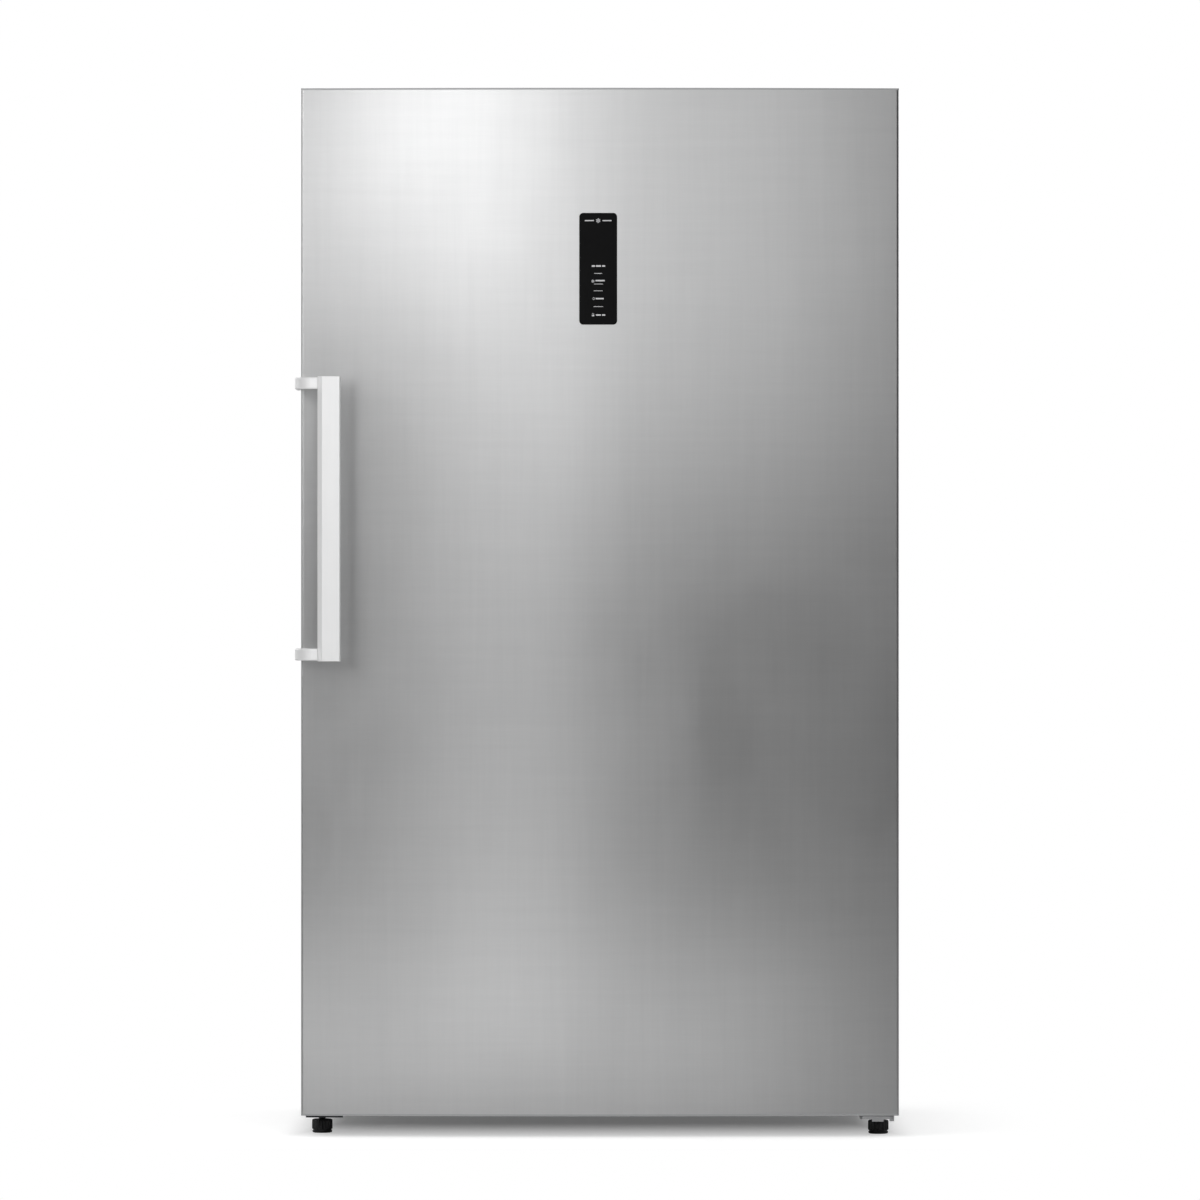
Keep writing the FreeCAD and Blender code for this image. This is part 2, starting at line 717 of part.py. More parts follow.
def compressor():
    """Welded steel can with a seam lip, on a base plate with four lugs; terminal cover at its side."""
    low = "tray_top + mount_height"
    body = new_body("compressor")
    reach = "compressor_radius"
    can = [
        ("0", f"{low} + 3"), (f"{reach} * 0.72", f"{low} + 3"),
        (f"{reach} * 0.95", f"{low} + 16", "arc"), (reach, f"{low} + 40"),
        (reach, f"{low} + compressor_height * 0.5"), (f"{reach} + 4", f"{low} + compressor_height * 0.5"),
        (f"{reach} + 4", f"{low} + compressor_height * 0.5 + 4"),
        (reach, f"{low} + compressor_height * 0.5 + 4"), (reach, f"{low} + compressor_height - 38"),
        (f"{reach} * 0.80", f"{low} + compressor_height - 11", "arc"),
        (f"{reach} * 0.30", f"{low} + compressor_height"), ("0", f"{low} + compressor_height"),
    ]
    revolve(body, "XZ", can, (COMPRESSOR_X, COMPRESSOR_Y))
    plate = rounded("-80", "80", "-90", "90", "12")
    prism(body, "XY", [plate], low, f"{low} + 3.5")
    lid = rounded(f"{reach} - 12", f"{reach} + 24", "-26", "26", "6")
    prism(body, "XY", [lid], f"{low} + 30", f"{low} + 68")


def compressor_mounts():
    """Four rubber grommets between the tray and the compressor's lugs."""
    posts = []
    for number, (x, y) in enumerate(MOUNT_SPOTS, start=1):
        centre = (f"{COMPRESSOR_X} + ({x})", f"{COMPRESSOR_Y} + ({y})")
        post = rod(f"mount_post_{number}", "Z", "9", centre, "tray_top", "tray_top + mount_height")
        foot_ring = rod(f"mount_foot_{number}", "Z", "13", centre, "tray_top", "tray_top + 4")
        posts.append(join(f"mount_{number}", [post, foot_ring]))
    finish(group("mounts_grouped", posts), "compressor_mounts")


def serpentine(label, plane, level, first, last, rows, start, pitch, radius):
    """One unbroken tube that runs to and fro between two ends, row after row, with half-round bends."""
    body = new_body(label)
    spine = new_sketch(body, plane, level)
    low, high = value(first), value(last)
    base, step = value(start), value(pitch)
    ends = []
    for row in range(rows):
        height = base + row * step
        left, right = FreeCAD.Vector(low, height, 0), FreeCAD.Vector(high, height, 0)
        tail = right if row % 2 == 0 else left
        run = Part.LineSegment(left, right) if row % 2 == 0 else Part.LineSegment(right, left)
        spine.addGeometry(run, False)
        ends.append(spine.GeometryCount - 1)
        if row < rows - 1:
            outward = 1 if row % 2 == 0 else -1
            up = FreeCAD.Vector(0, step, 0)
            crown = tail + FreeCAD.Vector(outward * step / 2, step / 2, 0)
            spine.addGeometry(Part.Arc(tail, crown, tail + up), False)
    tie_rows(spine, ends, first, last, start, pitch)
    ring = new_sketch(body, "YZ", first)
    centre = {"XY": (start, level), "XZ": (level, start)}[plane]
    draw_circle(ring, *centre, radius)
    pipe = body.newObject("PartDesign::AdditivePipe", label + "_pipe")
    pipe.Profile = ring
    pipe.Spine = spine
    doc.recompute()
    return body


def tie_rows(spine, rows, first, last, start, pitch):
    """Ties every straight run's ends to the two end formulas and its own row's height."""
    for order, run in enumerate(rows):
        height = f"{start} + {order} * ({pitch})"
        heads = (first, last) if order % 2 == 0 else (last, first)
        place_point(spine, run, 1, heads[0], height)
        place_point(spine, run, 2, heads[1], height)


def condenser_coil():
    """Flat serpentine tube over the drip tray, open to the fan's draught."""
    serpentine(
        "condenser_coil", "XY", "tray_top + 62", "24 - inner_half", f"{FAN_X} - 84",
        7, "bay_y + 28", "26", "tube_radius",
    )


def drip_tray():
    """Shallow open tray on the floor of the bay that catches and dries the defrost water."""
    body = new_body("drip_tray")
    outside = rounded("14 - inner_half", f"{FAN_X} - 64", "bay_y + 12", "rear_y - 14", "10")
    prism(body, "XY", [outside], "tray_top", "tray_top + 59")
    inside = rounded("16 - inner_half", f"{FAN_X} - 66", "bay_y + 14", "rear_y - 16", "8")
    prism(body, "XY", [inside], "tray_top + 2", "tray_top + 60", remove=True)


def condenser_fan_mount():
    """Upright shroud plate with a round mouth, and the motor on two struts behind it."""
    x, y, z = FAN_X, COMPRESSOR_Y, FAN_Z
    wide, thin = (f"{y} - 84", f"{y} + 84"), (f"{z} - 5", f"{z} + 5")
    plate = box("shroud_plate", (f"{x} - 2", f"{x} + 2"), wide, ("tray_top", f"{z} + 84"))
    mouth = rod("shroud_mouth", "X", "fan_radius + 4", (y, z), f"{x} - 3", f"{x} + 3")
    lip = rod("shroud_lip", "X", "fan_radius + 6.5", (y, z), f"{x} - 16", f"{x} + 2")
    bore = rod("shroud_bore", "X", "fan_radius + 4", (y, z), f"{x} - 17", f"{x} + 3")
    ring = cut("shroud_ring", join("shroud_solid", [plate, lip]), [bore, mouth])
    motor = rod("fan_motor", "X", "20", (y, z), f"{x} + 14", f"{x} + 50")
    shaft = rod("fan_shaft", "X", "fan_shaft", (y, z), f"{x} - 12", f"{x} + 14")
    struts = [box("strut_across", (f"{x} + 14", f"{x} + 18"), wide, thin)]
    for order, side in enumerate(("-1", "1")):
        edge = f"{y} + {side} * 80"
        post = ((f"{x} + 2", f"{x} + 18"), (f"{edge} - 4", f"{edge} + 4"), thin)
        struts.append(box(f"strut_post_{order}", *post))
    finish(join("fan_mount_joined", [ring, motor, shaft, *struts]), "condenser_fan_mount")


BLADES = 5
BLADE_START = 12
BLADE_WIDTH = 34
BLADE_THICK = 2
BLADE_PITCH = 26


def fan_blade(label, axis, centre, low, high, tip):
    """Hub with five pitched blades on a shaft; the hub's bore runs on the motor's shaft."""
    hub = rod(label + "_hub", axis, "16", centre, low, high)
    middle = f"(({low}) + ({high})) / 2"
    pieces = [hub]
    for number in range(BLADES):
        blade = doc.addObject("Part::Box", f"{label}_blade_{number}")
        bind(blade, "Length", f"{tip} - {BLADE_START}")
        blade.Width = BLADE_WIDTH
        blade.Height = BLADE_THICK
        corner = FreeCAD.Vector(BLADE_START, -BLADE_WIDTH / 2, -BLADE_THICK / 2)
        shift = FreeCAD.Placement(corner, FreeCAD.Rotation())
        pitch = FreeCAD.Placement(FreeCAD.Vector(), FreeCAD.Rotation(AXES["X"], BLADE_PITCH))
        spin = FreeCAD.Placement(FreeCAD.Vector(), FreeCAD.Rotation(AXES["Z"], 360 / BLADES * number))
        face = FreeCAD.Placement(FreeCAD.Vector(), TURNS[axis])
        spots = [value(c) for c in centre]
        spots.insert("XYZ".index(axis), value(middle))
        seat = FreeCAD.Placement(FreeCAD.Vector(*spots), FreeCAD.Rotation())
        blade.Placement = seat * face * spin * pitch * shift
        pieces.append(blade)
    swept = rod(label + "_sweep", axis, tip, centre, low, high)
    trimmed = doc.addObject("Part::MultiCommon", label + "_trimmed")
    trimmed.Shapes = [join(label + "_blades", pieces), swept]
    bore = rod(label + "_bore", axis, "fan_shaft + axle_clearance", centre, low, high)
    finish(cut(label, trimmed, [bore]), label)


def filter_drier():
    """Copper capsule with a tapered end, and the pipe from it to the compressor's side."""
    body = new_body("filter_drier")
    x = f"({COMPRESSOR_X}) + compressor_radius + 58"
    low = "tray_top + 96"
    capsule = [
        ("0", low), ("3", low), ("11", f"{low} + 14"), ("11", f"{low} + 84"), ("3", f"{low} + 98"),
        ("0", f"{low} + 98"),
    ]
    revolve(body, "XZ", capsule, (x, COMPRESSOR_Y))
    drop = ("circle", "0", "0", "tube_radius")
    prism(body, "XY", [drop], "tray_top", f"{low} + 1")
    bridge = ("circle", "0", f"{low} + 98 - 6", "tube_radius")
    prism(body, "YZ", [bridge], "-58 + seat_gap", "0")


# transformer, two relays, terminal row and capacitor: place, width, height and depth
BOARD_PARTS = (
    (-38, -12, 26, 34, 22), (-4, 8, 18, 16, 15), (20, 8, 18, 16, 15),
    (0, -22, 40, 12, 9), (42, -8, 16, 30, 12),
)


def control_board():
    """Board with relays and a transformer, stood off the bay's front wall."""
    x, z = "half - 84", "tray_top + 130"
    y = "bay_y"
    wide, tall = (f"{x} - 60", f"{x} + 60"), (f"{z} - 40", f"{z} + 40")
    pieces = [box("board_plate", wide, (f"{y} + 8", f"{y} + 8 + board_thick"), tall)]
    for order, (dx, dz) in enumerate(((-52, -32), (52, -32), (-52, 32), (52, 32))):
        spot = (f"{x} + ({dx})", f"{z} + ({dz})")
        pieces.append(rod(f"board_post_{order}", "Y", "4", spot, y, f"{y} + 8.5"))
    for order, (dx, dz, width, height, depth) in enumerate(BOARD_PARTS):
        across = (f"{x} + ({dx - width / 2})", f"{x} + ({dx + width / 2})")
        up = (f"{z} + ({dz - height / 2})", f"{z} + ({dz + height / 2})")
        deep = (f"{y} + 9", f"{y} + 8 + board_thick + {depth}")
        pieces.append(box(f"board_part_{order}", across, deep, up))
    finish(join("board_joined", pieces), "control_board")


INLET_X = "half - 96"
INLET_Z = "tray_top + 52"


def rear_cover():
    """Sheet over the machine bay with two fields of air slots and a hole for the mains inlet."""
    body = new_body("rear_cover")
    outline = rectangle("rear_flange / 3 - half", "half - rear_flange / 3", "tray_top + 2", "bay_top + 2")
    inlet = rectangle(f"{INLET_X} - 24.2", f"{INLET_X} + 24.2", f"{INLET_Z} - 15.2", f"{INLET_Z} + 15.2")
    prism(body, "XZ", [outline, inlet], "rear_y", "rear_y + rear_sheet")
    for left, right in (("60 - half", "-30"), ("30", "half - 170")):
        low = "tray_top + 40"
        loops = [slot(left, right, low, f"{low} + 7")]
        first = prism(body, "XZ", loops, "rear_y - 1", "rear_y + rear_sheet + 1", remove=True)
        repeat_up(body, first, 7, "bay_height - 104")


def power_inlet():
    """Mains inlet: a framed socket with three blades, snapped into the rear cover."""
    x, z = INLET_X, INLET_Z

    def block(name, wide, tall, front, back, dx=0, dz=0):
        across = (f"{x} + ({dx}) - {wide}", f"{x} + ({dx}) + {wide}")
        return box(name, across, (front, back), (f"{z} + ({dz}) - {tall}", f"{z} + ({dz}) + {tall}"))

    frame = block("inlet_frame", 28, 19, "rear_y + rear_sheet", "rear_y + rear_sheet + 2.5")
    barrel = block("inlet_barrel", 24, 15, "rear_y - 22", "rear_y + rear_sheet + 1")
    well = block("inlet_well", 12.5, 8, "rear_y - 16", "rear_y + rear_sheet + 3")
    hollow = cut("inlet_hollow", join("inlet_solid", [frame, barrel]), [well])
    blades = []
    for order, (dx, dz) in enumerate(((-7, -1.5), (0, 2.5), (7, -1.5))):
        blades.append(block(f"inlet_blade_{order}", 1, 2, "rear_y - 17", "rear_y - 2", dx, dz))
    finish(join("inlet_joined", [hollow, *blades]), "power_inlet")


def cabinet_screws():
    """Domed sheet-metal screws: three in the upper hinge, the rest round the back."""
    screws = []

    def screw(number, axis, centre, seat):
        crown = f"{seat} + 2.2"
        shank = rod(f"screw_{number}_shank", axis, "1.9", centre, f"{seat} - 10", crown)
        head = rod(f"screw_{number}_head", axis, "4.2", centre, seat, crown)
        screws.append(join(f"screw_{number}", [shank, head]))

    for order, (x, y) in enumerate(HINGE_SCREWS):
        screw(f"hinge_{order}", "Z", (f"hinge_x - {x}", f"face_y + {y}"), "cabinet_top + hinge_plate")
    edge = "half - rear_flange * 0.6"
    heights = ["bay_top + 60", "(bay_top + cabinet_top) / 2", "cabinet_top - 60"]
    for name, across in (("left", minus(edge)), ("right", edge)):
        for order, height in enumerate(heights):
            screw(f"back_{name}_{order}", "Y", (across, height), "rear_y + sheet")
        screw("cover_" + name, "Y", (across, "tray_top + 100"), "rear_y + rear_sheet")
    finish(group("screws_grouped", screws), "cabinet_screws")


# --------------------------------------------------------------------- cold side
EVAPORATOR_Z = "cavity_floor + evaporator_rise"
EVAPORATOR_Y = "cavity_back_y - 38"
EVAPORATOR_ROWS = 8
FIN_COUNT = 17
COLD_FAN_Z = "cavity_floor + 660"
OUTLET_Z = "first_shelf_z - 44"


def evaporator_coil():
    """Serpentine tube through upright fins; the two end plates reach back to the liner."""
    tube = serpentine(
        "evaporator_tube", "XZ", EVAPORATOR_Y, "16 - evaporator_half", "evaporator_half - 16",
        EVAPORATOR_ROWS, f"{EVAPORATOR_Z} + 10", f"evaporator_height / {EVAPORATOR_ROWS}", "tube_radius + 1",
    )
    nodes.remove(tube)
    fins = []
    for number in range(FIN_COUNT):
        x = f"-evaporator_half + 22 + {number} * (2 * evaporator_half - 44) / {FIN_COUNT - 1}"
        outer = number in (0, FIN_COUNT - 1)
        back = "cavity_back_y - seat_gap" if outer else f"{EVAPORATOR_Y} + 26"
        fins.append(box(f"fin_{number}", (f"{x} - 0.6", f"{x} + 0.6"), (f"{EVAPORATOR_Y} - 26", back),
                        (f"{EVAPORATOR_Z} - 4", f"{EVAPORATOR_Z} + evaporator_height")))
    finish(join("evaporator_joined", [tube, *fins]), "evaporator_coil")


def defrost_heater():
    """Bent glass-cased heater below the coil, held by its two ends at the liner's back."""
    body = new_body("defrost_heater")
    spine = new_sketch(body, "XY", f"{EVAPORATOR_Z} - 26")
    side, bend = value("evaporator_half - 20"), 14
    back, front = value("cavity_back_y - seat_gap"), value("cavity_back_y - 46")
    spots = [FreeCAD.Vector(x, y, 0) for x, y in (
        (-side, back), (-side, front + bend), (-side + bend, front),
        (side - bend, front), (side, front + bend), (side, back),
    )]
    drop = bend * (1 - math.sqrt(0.5))
    spine.addGeometry(Part.LineSegment(spots[0], spots[1]), False)
    spine.addGeometry(Part.Arc(spots[1], FreeCAD.Vector(-side + drop, front + drop, 0), spots[2]), False)
    spine.addGeometry(Part.LineSegment(spots[2], spots[3]), False)
    spine.addGeometry(Part.Arc(spots[3], FreeCAD.Vector(side - drop, front + drop, 0), spots[4]), False)
    spine.addGeometry(Part.LineSegment(spots[4], spots[5]), False)
    ring = new_sketch(body, "XZ", "cavity_back_y - seat_gap")
    draw_circle(ring, "20 - evaporator_half", f"{EVAPORATOR_Z} - 26", "4")
    pipe = body.newObject("PartDesign::AdditivePipe", "heater_pipe")
    pipe.Profile = ring
    pipe.Spine = spine
    doc.recompute()


def evaporator_cover():
    """White panel before the coil: outlets at each level, a fan grille and return slots below."""
    body = new_body("evaporator_cover")
    side = "cavity_half - seat_gap"
    face = rounded(minus(side), side, "hump_top + seat_gap", "cavity_top - seat_gap", "cavity_radius")
    prism(body, "XZ", [face], "cover_y", "cover_y + cover_sheet")
    outlets = [slot(f"{x} - 62", f"{x} + 62", OUTLET_Z, f"{OUTLET_Z} + 9") for x in ("-190", "190")]
    repeat_up(body, vent(body, outlets), 4, "3 * shelf_pitch")
    returns = [slot(f"{x} - 100", f"{x} + 100", "hump_top + 20", "hump_top + 27") for x in ("-150", "150")]
    repeat_up(body, vent(body, returns), 4, "42")
    spoke = vent(body, [slot("20", "fan_radius - 8", "-3.5", "3.5")], COLD_FAN_Z)
    ring = body.newObject("PartDesign::PolarPattern", "grille")
    ring.Originals = [spoke]
    ring.Axis = (spoke.Profile[0], ["N_Axis"])
    ring.Angle = 360
    ring.Occurrences = 14
    body.Tip = ring
    doc.recompute()


def vent(body, loops, height="0"):
    """Cuts slots through the evaporator cover, drawn about a height on the middle line."""
    return prism(body, "XZ", loops, "cover_y - 1", "cover_y + cover_sheet + 1", remove=True, height=height)


def evaporator_fan_motor():
    """Motor on a cross bracket against the liner's back, with its shaft forward."""
    z = COLD_FAN_Z
    back = "cavity_back_y - seat_gap"
    motor = rod("cold_motor", "Y", "20", ("0", z), "cavity_back_y - 40", back)
    bars = [
        box("cold_bar_across", ("-70", "70"), ("cavity_back_y - 8", back), (f"{z} - 8", f"{z} + 8")),
        box("cold_bar_up", ("-8", "8"), ("cavity_back_y - 8", back), (f"{z} - 70", f"{z} + 70")),
    ]
    shaft = rod("cold_shaft", "Y", "fan_shaft", ("0", z), "cavity_back_y - 66", "cavity_back_y - 40")
    finish(join("cold_motor_joined", [motor, shaft, *bars]), "evaporator_fan_motor")


def light_module():
    """Ceiling light: a frosted lens moulded over its board."""
    body = new_body("light_module")
    lens = rounded("-130", "130", "face_y + 130", "face_y + 176", "10")
    prism(body, "XY", [lens], "cavity_top - 14", "cavity_top - seat_gap")
    round_off(body, edges_level(body.Tip.Shape, "Z", "cavity_top - 14"), "6")


# -------------------------------------------------------------- shelves, drawers
SHELVES = ("lower", "middle", "upper")
DRAWERS = {
    "lower": ("cavity_floor + drawer_rise", "lower_drawer_height", "hump_y - 10"),
    "upper": ("upper_drawer_z", "upper_drawer_height", "store_back_y"),
}


def shelf_level(order):
    """Underside of a glass shelf."""
    return f"first_shelf_z + {order} * shelf_pitch"


def shelf(name, order):
    low = shelf_level(order)
    side = "cavity_half - shelf_side_gap"
    glass = new_body("shelf_glass_" + name)
    plate = rounded(minus(side), side, "store_y + 2", "store_back_y", "6")
    prism(glass, "XY", [plate], low, f"{low} + shelf_glass")
    trim = new_body("shelf_trim_" + name)
    front, seat, back = "store_y - 2", "store_y + 2", "store_y + trim_depth"
    crown, under = f"{low} + shelf_glass + 4", f"{low} - 2.2"
    base = f"{crown} - trim_height"
    grip = [
        (front, crown), (front, base), (f"{seat} - seat_gap", base), (f"{seat} - seat_gap", under),
        (back, under), (back, low), (seat, low), (seat, f"{low} + shelf_glass"),
        (back, f"{low} + shelf_glass"), (back, f"{low} + shelf_glass + 2.2"), ("store_y + 4", crown),
    ]
    prism(trim, "YZ", [grip], minus(side), side)


def wall_rails():
    """Moulded rails clipped to the liner's sides: one pair under each shelf and each drawer."""
    bars = []
    levels = [(f"shelf_{n}", shelf_level(order), "store_back_y") for order, n in enumerate(SHELVES)]
    for name, (low, tall, back) in DRAWERS.items():
        levels.append((f"drawer_{name}", f"{low} + {tall} - 8 - seat_gap", back))
    for name, top, back in levels:
        for side, ends in (("left", ("-cavity_half", "-rail_x")), ("right", ("rail_x", "cavity_half"))):
            start = "store_y + trim_depth + 2" if name.startswith("shelf") else "store_y + 14"
            bars.append(box(f"rail_{name}_{side}", ends, (start, back), (f"{top} - rail_height", top)))
    finish(group("rails_grouped", bars), "wall_rails")


def drawer(name):
    """Open moulded drawer that hangs by its rim on the rails, with a tall front and a grip lip."""
    low, tall, back = DRAWERS[name]
    body = new_body("drawer_" + name)
    side = "rail_x - drawer_gap"
    rim = f"{low} + {tall} - 8"
    tub = rounded(minus(side), side, "store_y + 6", back, "14")
    prism(body, "XY", [tub], low, f"{rim} + 4")
    round_off(body, edges_level(body.Tip.Shape, "Z", low), "8")
    edge = f"{side} + rail_width - drawer_gap"
    prism(body, "XY", [rectangle(minus(edge), edge, "store_y + 6", back)], rim, f"{rim} + 4")
    front = rounded(minus(edge), edge, low, f"{low} + {tall}", "10")
    prism(body, "XZ", [front], "store_y", "store_y + 6")
    hollow = f"{side} - drawer_wall"
    inside = rounded(minus(hollow), hollow, "store_y + 6", f"{back} - drawer_wall", "12")
    prism(body, "XY", [inside], f"{low} + drawer_wall", f"{rim} + 5", remove=True)
    grip = rounded("-90", "90", f"{low} + {tall} - 44", f"{low} + {tall} - 16", "12")
    prism(body, "XZ", [grip], "store_y - 1", "store_y + 7", remove=True)


# ------------------------------------------------------------------------- door
def door_outline(inset):
    """Plan of the door: straight sides and back, round front edges, and a front bowed by its arch."""
    side, front = f"door_half - {inset}", f"door_edge_y + {inset}"
    bend = f"(door_edge_radius - {inset})"
    cut_in = f"{bend} * (1 - sqrt(0.5))"
    return [
        (minus(side), f"door_back_y - {inset}"), (minus(side), f"{front} + {bend}"),
        (f"{cut_in} - ({side})", f"{front} + {cut_in}", "arc"), (f"{bend} - ({side})", front),
        ("0", f"door_apex_y + {inset}", "arc"), (f"{side} - {bend}", front),
        (f"{side} - {cut_in}", f"{front} + {cut_in}", "arc"), (side, f"{front} + {bend}"),
        (side, f"door_back_y - {inset}"),
    ]


def notch_loop():
    """Corner of the door that the upper hinge's arm turns in, open at the back and the side."""
    return rectangle("notch_x", "door_half + 5", "notch_y", "door_back_y + 5")


def door_skin():
    """Brushed steel sheet: arched front, wrapped sides and a narrow return behind."""
    body = new_body("door_skin")
    prism(body, "XY", [door_outline("0")], "skin_bottom", "skin_top")
    prism(body, "XY", [door_outline("skin")], "skin_bottom", "skin_top", remove=True)
    edge = "door_half - skin_return"
    opening = rectangle(minus(edge), edge, "door_back_y - 5", "door_back_y + 5")
    prism(body, "XY", [opening], "skin_bottom", "skin_top", remove=True)
    window = rounded(*panel_edges("0"), "panel_radius")
    prism(body, "XZ", [window], "door_apex_y - 2", "door_edge_y", remove=True)
    prism(body, "XY", [notch_loop()], "notch_floor", "door_top", remove=True)


def panel_edges(margin):
    """Left, right, bottom and top of the control panel, drawn in by a margin."""
    return (
        f"panel_offset - panel_width / 2 + {margin}", f"panel_offset + panel_width / 2 - {margin}",
        f"panel_centre - panel_height / 2 + {margin}", f"panel_centre + panel_height / 2 - {margin}",
    )


def hinge_block(grown):
    """Plan of the cap's solid corner round the hinge, optionally grown for the foam's cut-out."""
    return rectangle(
        f"notch_x - cap_wall - {grown}", f"door_half - skin - 0.001 + {grown}",
        "notch_y - 0.1", f"door_back_y - liner_wall + {grown}",
    )


def door_cap(label, lip_low, lip_high, block_low, block_high, hole):
    """End cap: a lip to the door's full outline and a block inside the skin for the hinge bush."""
    body = new_body(label)
    prism(body, "XY", [door_outline("0")], lip_low, lip_high)
    prism(body, "XY", [hinge_block("0")], block_low, block_high)
    bore = ("circle", "hinge_x", "hinge_y", "pin_radius + bush_wall")
    prism(body, "XY", [bore], *hole, remove=True)
    return body


def door_caps():
    block_floor = "notch_floor - pin_depth - cap_wall"
    bore = ("notch_floor - pin_depth + arm_clearance", "door_top + 1")
    top = door_cap("door_cap_top", "skin_top", "door_top", block_floor, "skin_top", bore)
    prism(top, "XY", [notch_loop()], "notch_floor", "door_top + 1", remove=True)
    block_top = "door_floor_gap + pin_depth + cap_wall"
    bore = ("door_floor_gap - 1", "door_floor_gap + pin_depth")
    door_cap("door_cap_bottom", "door_floor_gap", "skin_bottom", "skin_bottom", block_top, bore)


def rib_ring(inset):
    """Outer and inner outline of the raised ring on the door liner, drawn in from both its walls."""
    outside = rounded(
        f"{inset} - rib_half", f"rib_half - ({inset})", f"rib_bottom + {inset}", f"rib_top - ({inset})", "16",
    )
    far = f"rib_width - ({inset})"
    inside = rounded(
        f"{far} - rib_half", f"rib_half - ({far})", f"rib_bottom + {far}", f"rib_top - ({far})", "10",
    )
    return [outside, inside]


def door_liner():
    """Formed plastic back of the door with a hollow raised ring that holds the bins."""
    body = new_body("door_liner")
    edge = "door_half - skin_return"
    plate = rectangle(minus(edge), edge, "skin_bottom", "skin_top")
    prism(body, "XZ", [plate], "door_back_y - liner_wall", "door_back_y")
    prism(body, "XZ", rib_ring("0"), "door_back_y", "rib_y")
    crest = edges_level(body.Tip.Shape, "Y", "rib_y")
    round_off(body, crest, "9")
    hollow = ("door_back_y - liner_wall", "rib_y - liner_wall - 7")
    prism(body, "XZ", rib_ring("liner_wall"), *hollow, remove=True)
    notch = rectangle("notch_x", "door_half", "notch_floor", "door_top")
    prism(body, "XZ", [notch], "door_back_y - 5", "door_back_y + 1", remove=True)


def door_foam():
    body = new_body("door_foam")
    prism(body, "XY", [door_outline("skin")], "skin_bottom", "skin_top")
    behind = rectangle("-door_half", "door_half", "door_back_y - liner_wall", "door_back_y + 5")
    prism(body, "XY", [behind], "skin_bottom", "skin_top", remove=True)
    ribs = ("door_back_y - liner_wall - 1", "rib_y - liner_wall - 7.2")
    prism(body, "XZ", rib_ring("liner_wall + 0.2"), *ribs)
    for low, high in (
        ("notch_floor - pin_depth - cap_wall - 0.1", "skin_top"),
        ("skin_bottom", "door_floor_gap + pin_depth + cap_wall + 0.1"),
    ):
        prism(body, "XY", [hinge_block("0.1")], low, high, remove=True)
    pocket = rectangle(*panel_edges("0"))
    prism(body, "XZ", [pocket], "door_apex_y - 2", "door_apex_y + board_pocket", remove=True)


def door_gasket():
    """Magnetic gasket ring on the door's back, just clear of the cabinet's steel face."""
    body = new_body("door_gasket")
    side = "half - gasket_inset"
    low, high = "cabinet_floor_gap + gasket_inset", "cabinet_top - gasket_inset"
    outside = rounded(minus(side), side, low, high, "6")
    hole = f"{side} - gasket_width"
    inside = rectangle(minus(hole), hole, f"{low} + gasket_width", f"{high} - gasket_width")
    prism(body, "XZ", [outside, inside], "door_back_y", "face_y - seat_gap")


def control_panel():
    """Dark touch panel set flush in the skin, with its key board on pads behind."""
    body = new_body("panel_fascia")
    face = rounded(*panel_edges("0.1"), "panel_radius - 0.1")
    prism(body, "XZ", [face], "panel_front_y", "panel_front_y + panel_thick")
    round_off(body, edges_level(body.Tip.Shape, "Y", "panel_front_y"), "0.4")
    left, right, low, high = panel_edges("board_margin")
    back = "panel_front_y + panel_thick"
    board = box("touch_plate", (left, right), (f"{back} + 3", f"{back} + 3 + board_thick"), (low, high))
    pads = []
    for order, height in enumerate(("-54", "-22", "22", "54")):
        spot = ("panel_offset", f"panel_centre + ({height})")
        pads.append(rod(f"touch_pad_{order}", "Y", "5", spot, back, f"{back} + 3.1"))
    finish(join("touch_joined", [board, *pads]), "touch_board")


# ----------------------------------------------------------------------- handle
def handle_bar():
    body = new_body("handle_bar")
    section = [
        ("bar_left_x", "bar_front_y + bar_facet"), ("bar_left_x + bar_facet", "bar_front_y"),
        ("bar_right_x", "bar_front_y"), ("bar_right_x", "bar_back_y"), ("bar_left_x", "bar_back_y"),
    ]
    prism(body, "XY", [section], "handle_bottom", "handle_bottom + handle_length")
    spots = [("bar_right_x", "bar_front_y"), ("bar_right_x", "bar_back_y"), ("bar_left_x", "bar_back_y")]
    round_off(body, edges_along(body.Tip.Shape, "Z", *spots), "2")
    facet = [("bar_left_x", "bar_front_y + bar_facet"), ("bar_left_x + bar_facet", "bar_front_y")]
    round_off(body, edges_along(body.Tip.Shape, "Z", *facet), "1.2")
    ends = edges_level(body.Tip.Shape, "Z", "handle_bottom")
    ends += edges_level(body.Tip.Shape, "Z", "handle_bottom + handle_length")
    round_off(body, ends, "0.6")


SCREW_BACKS = ("10", "26")


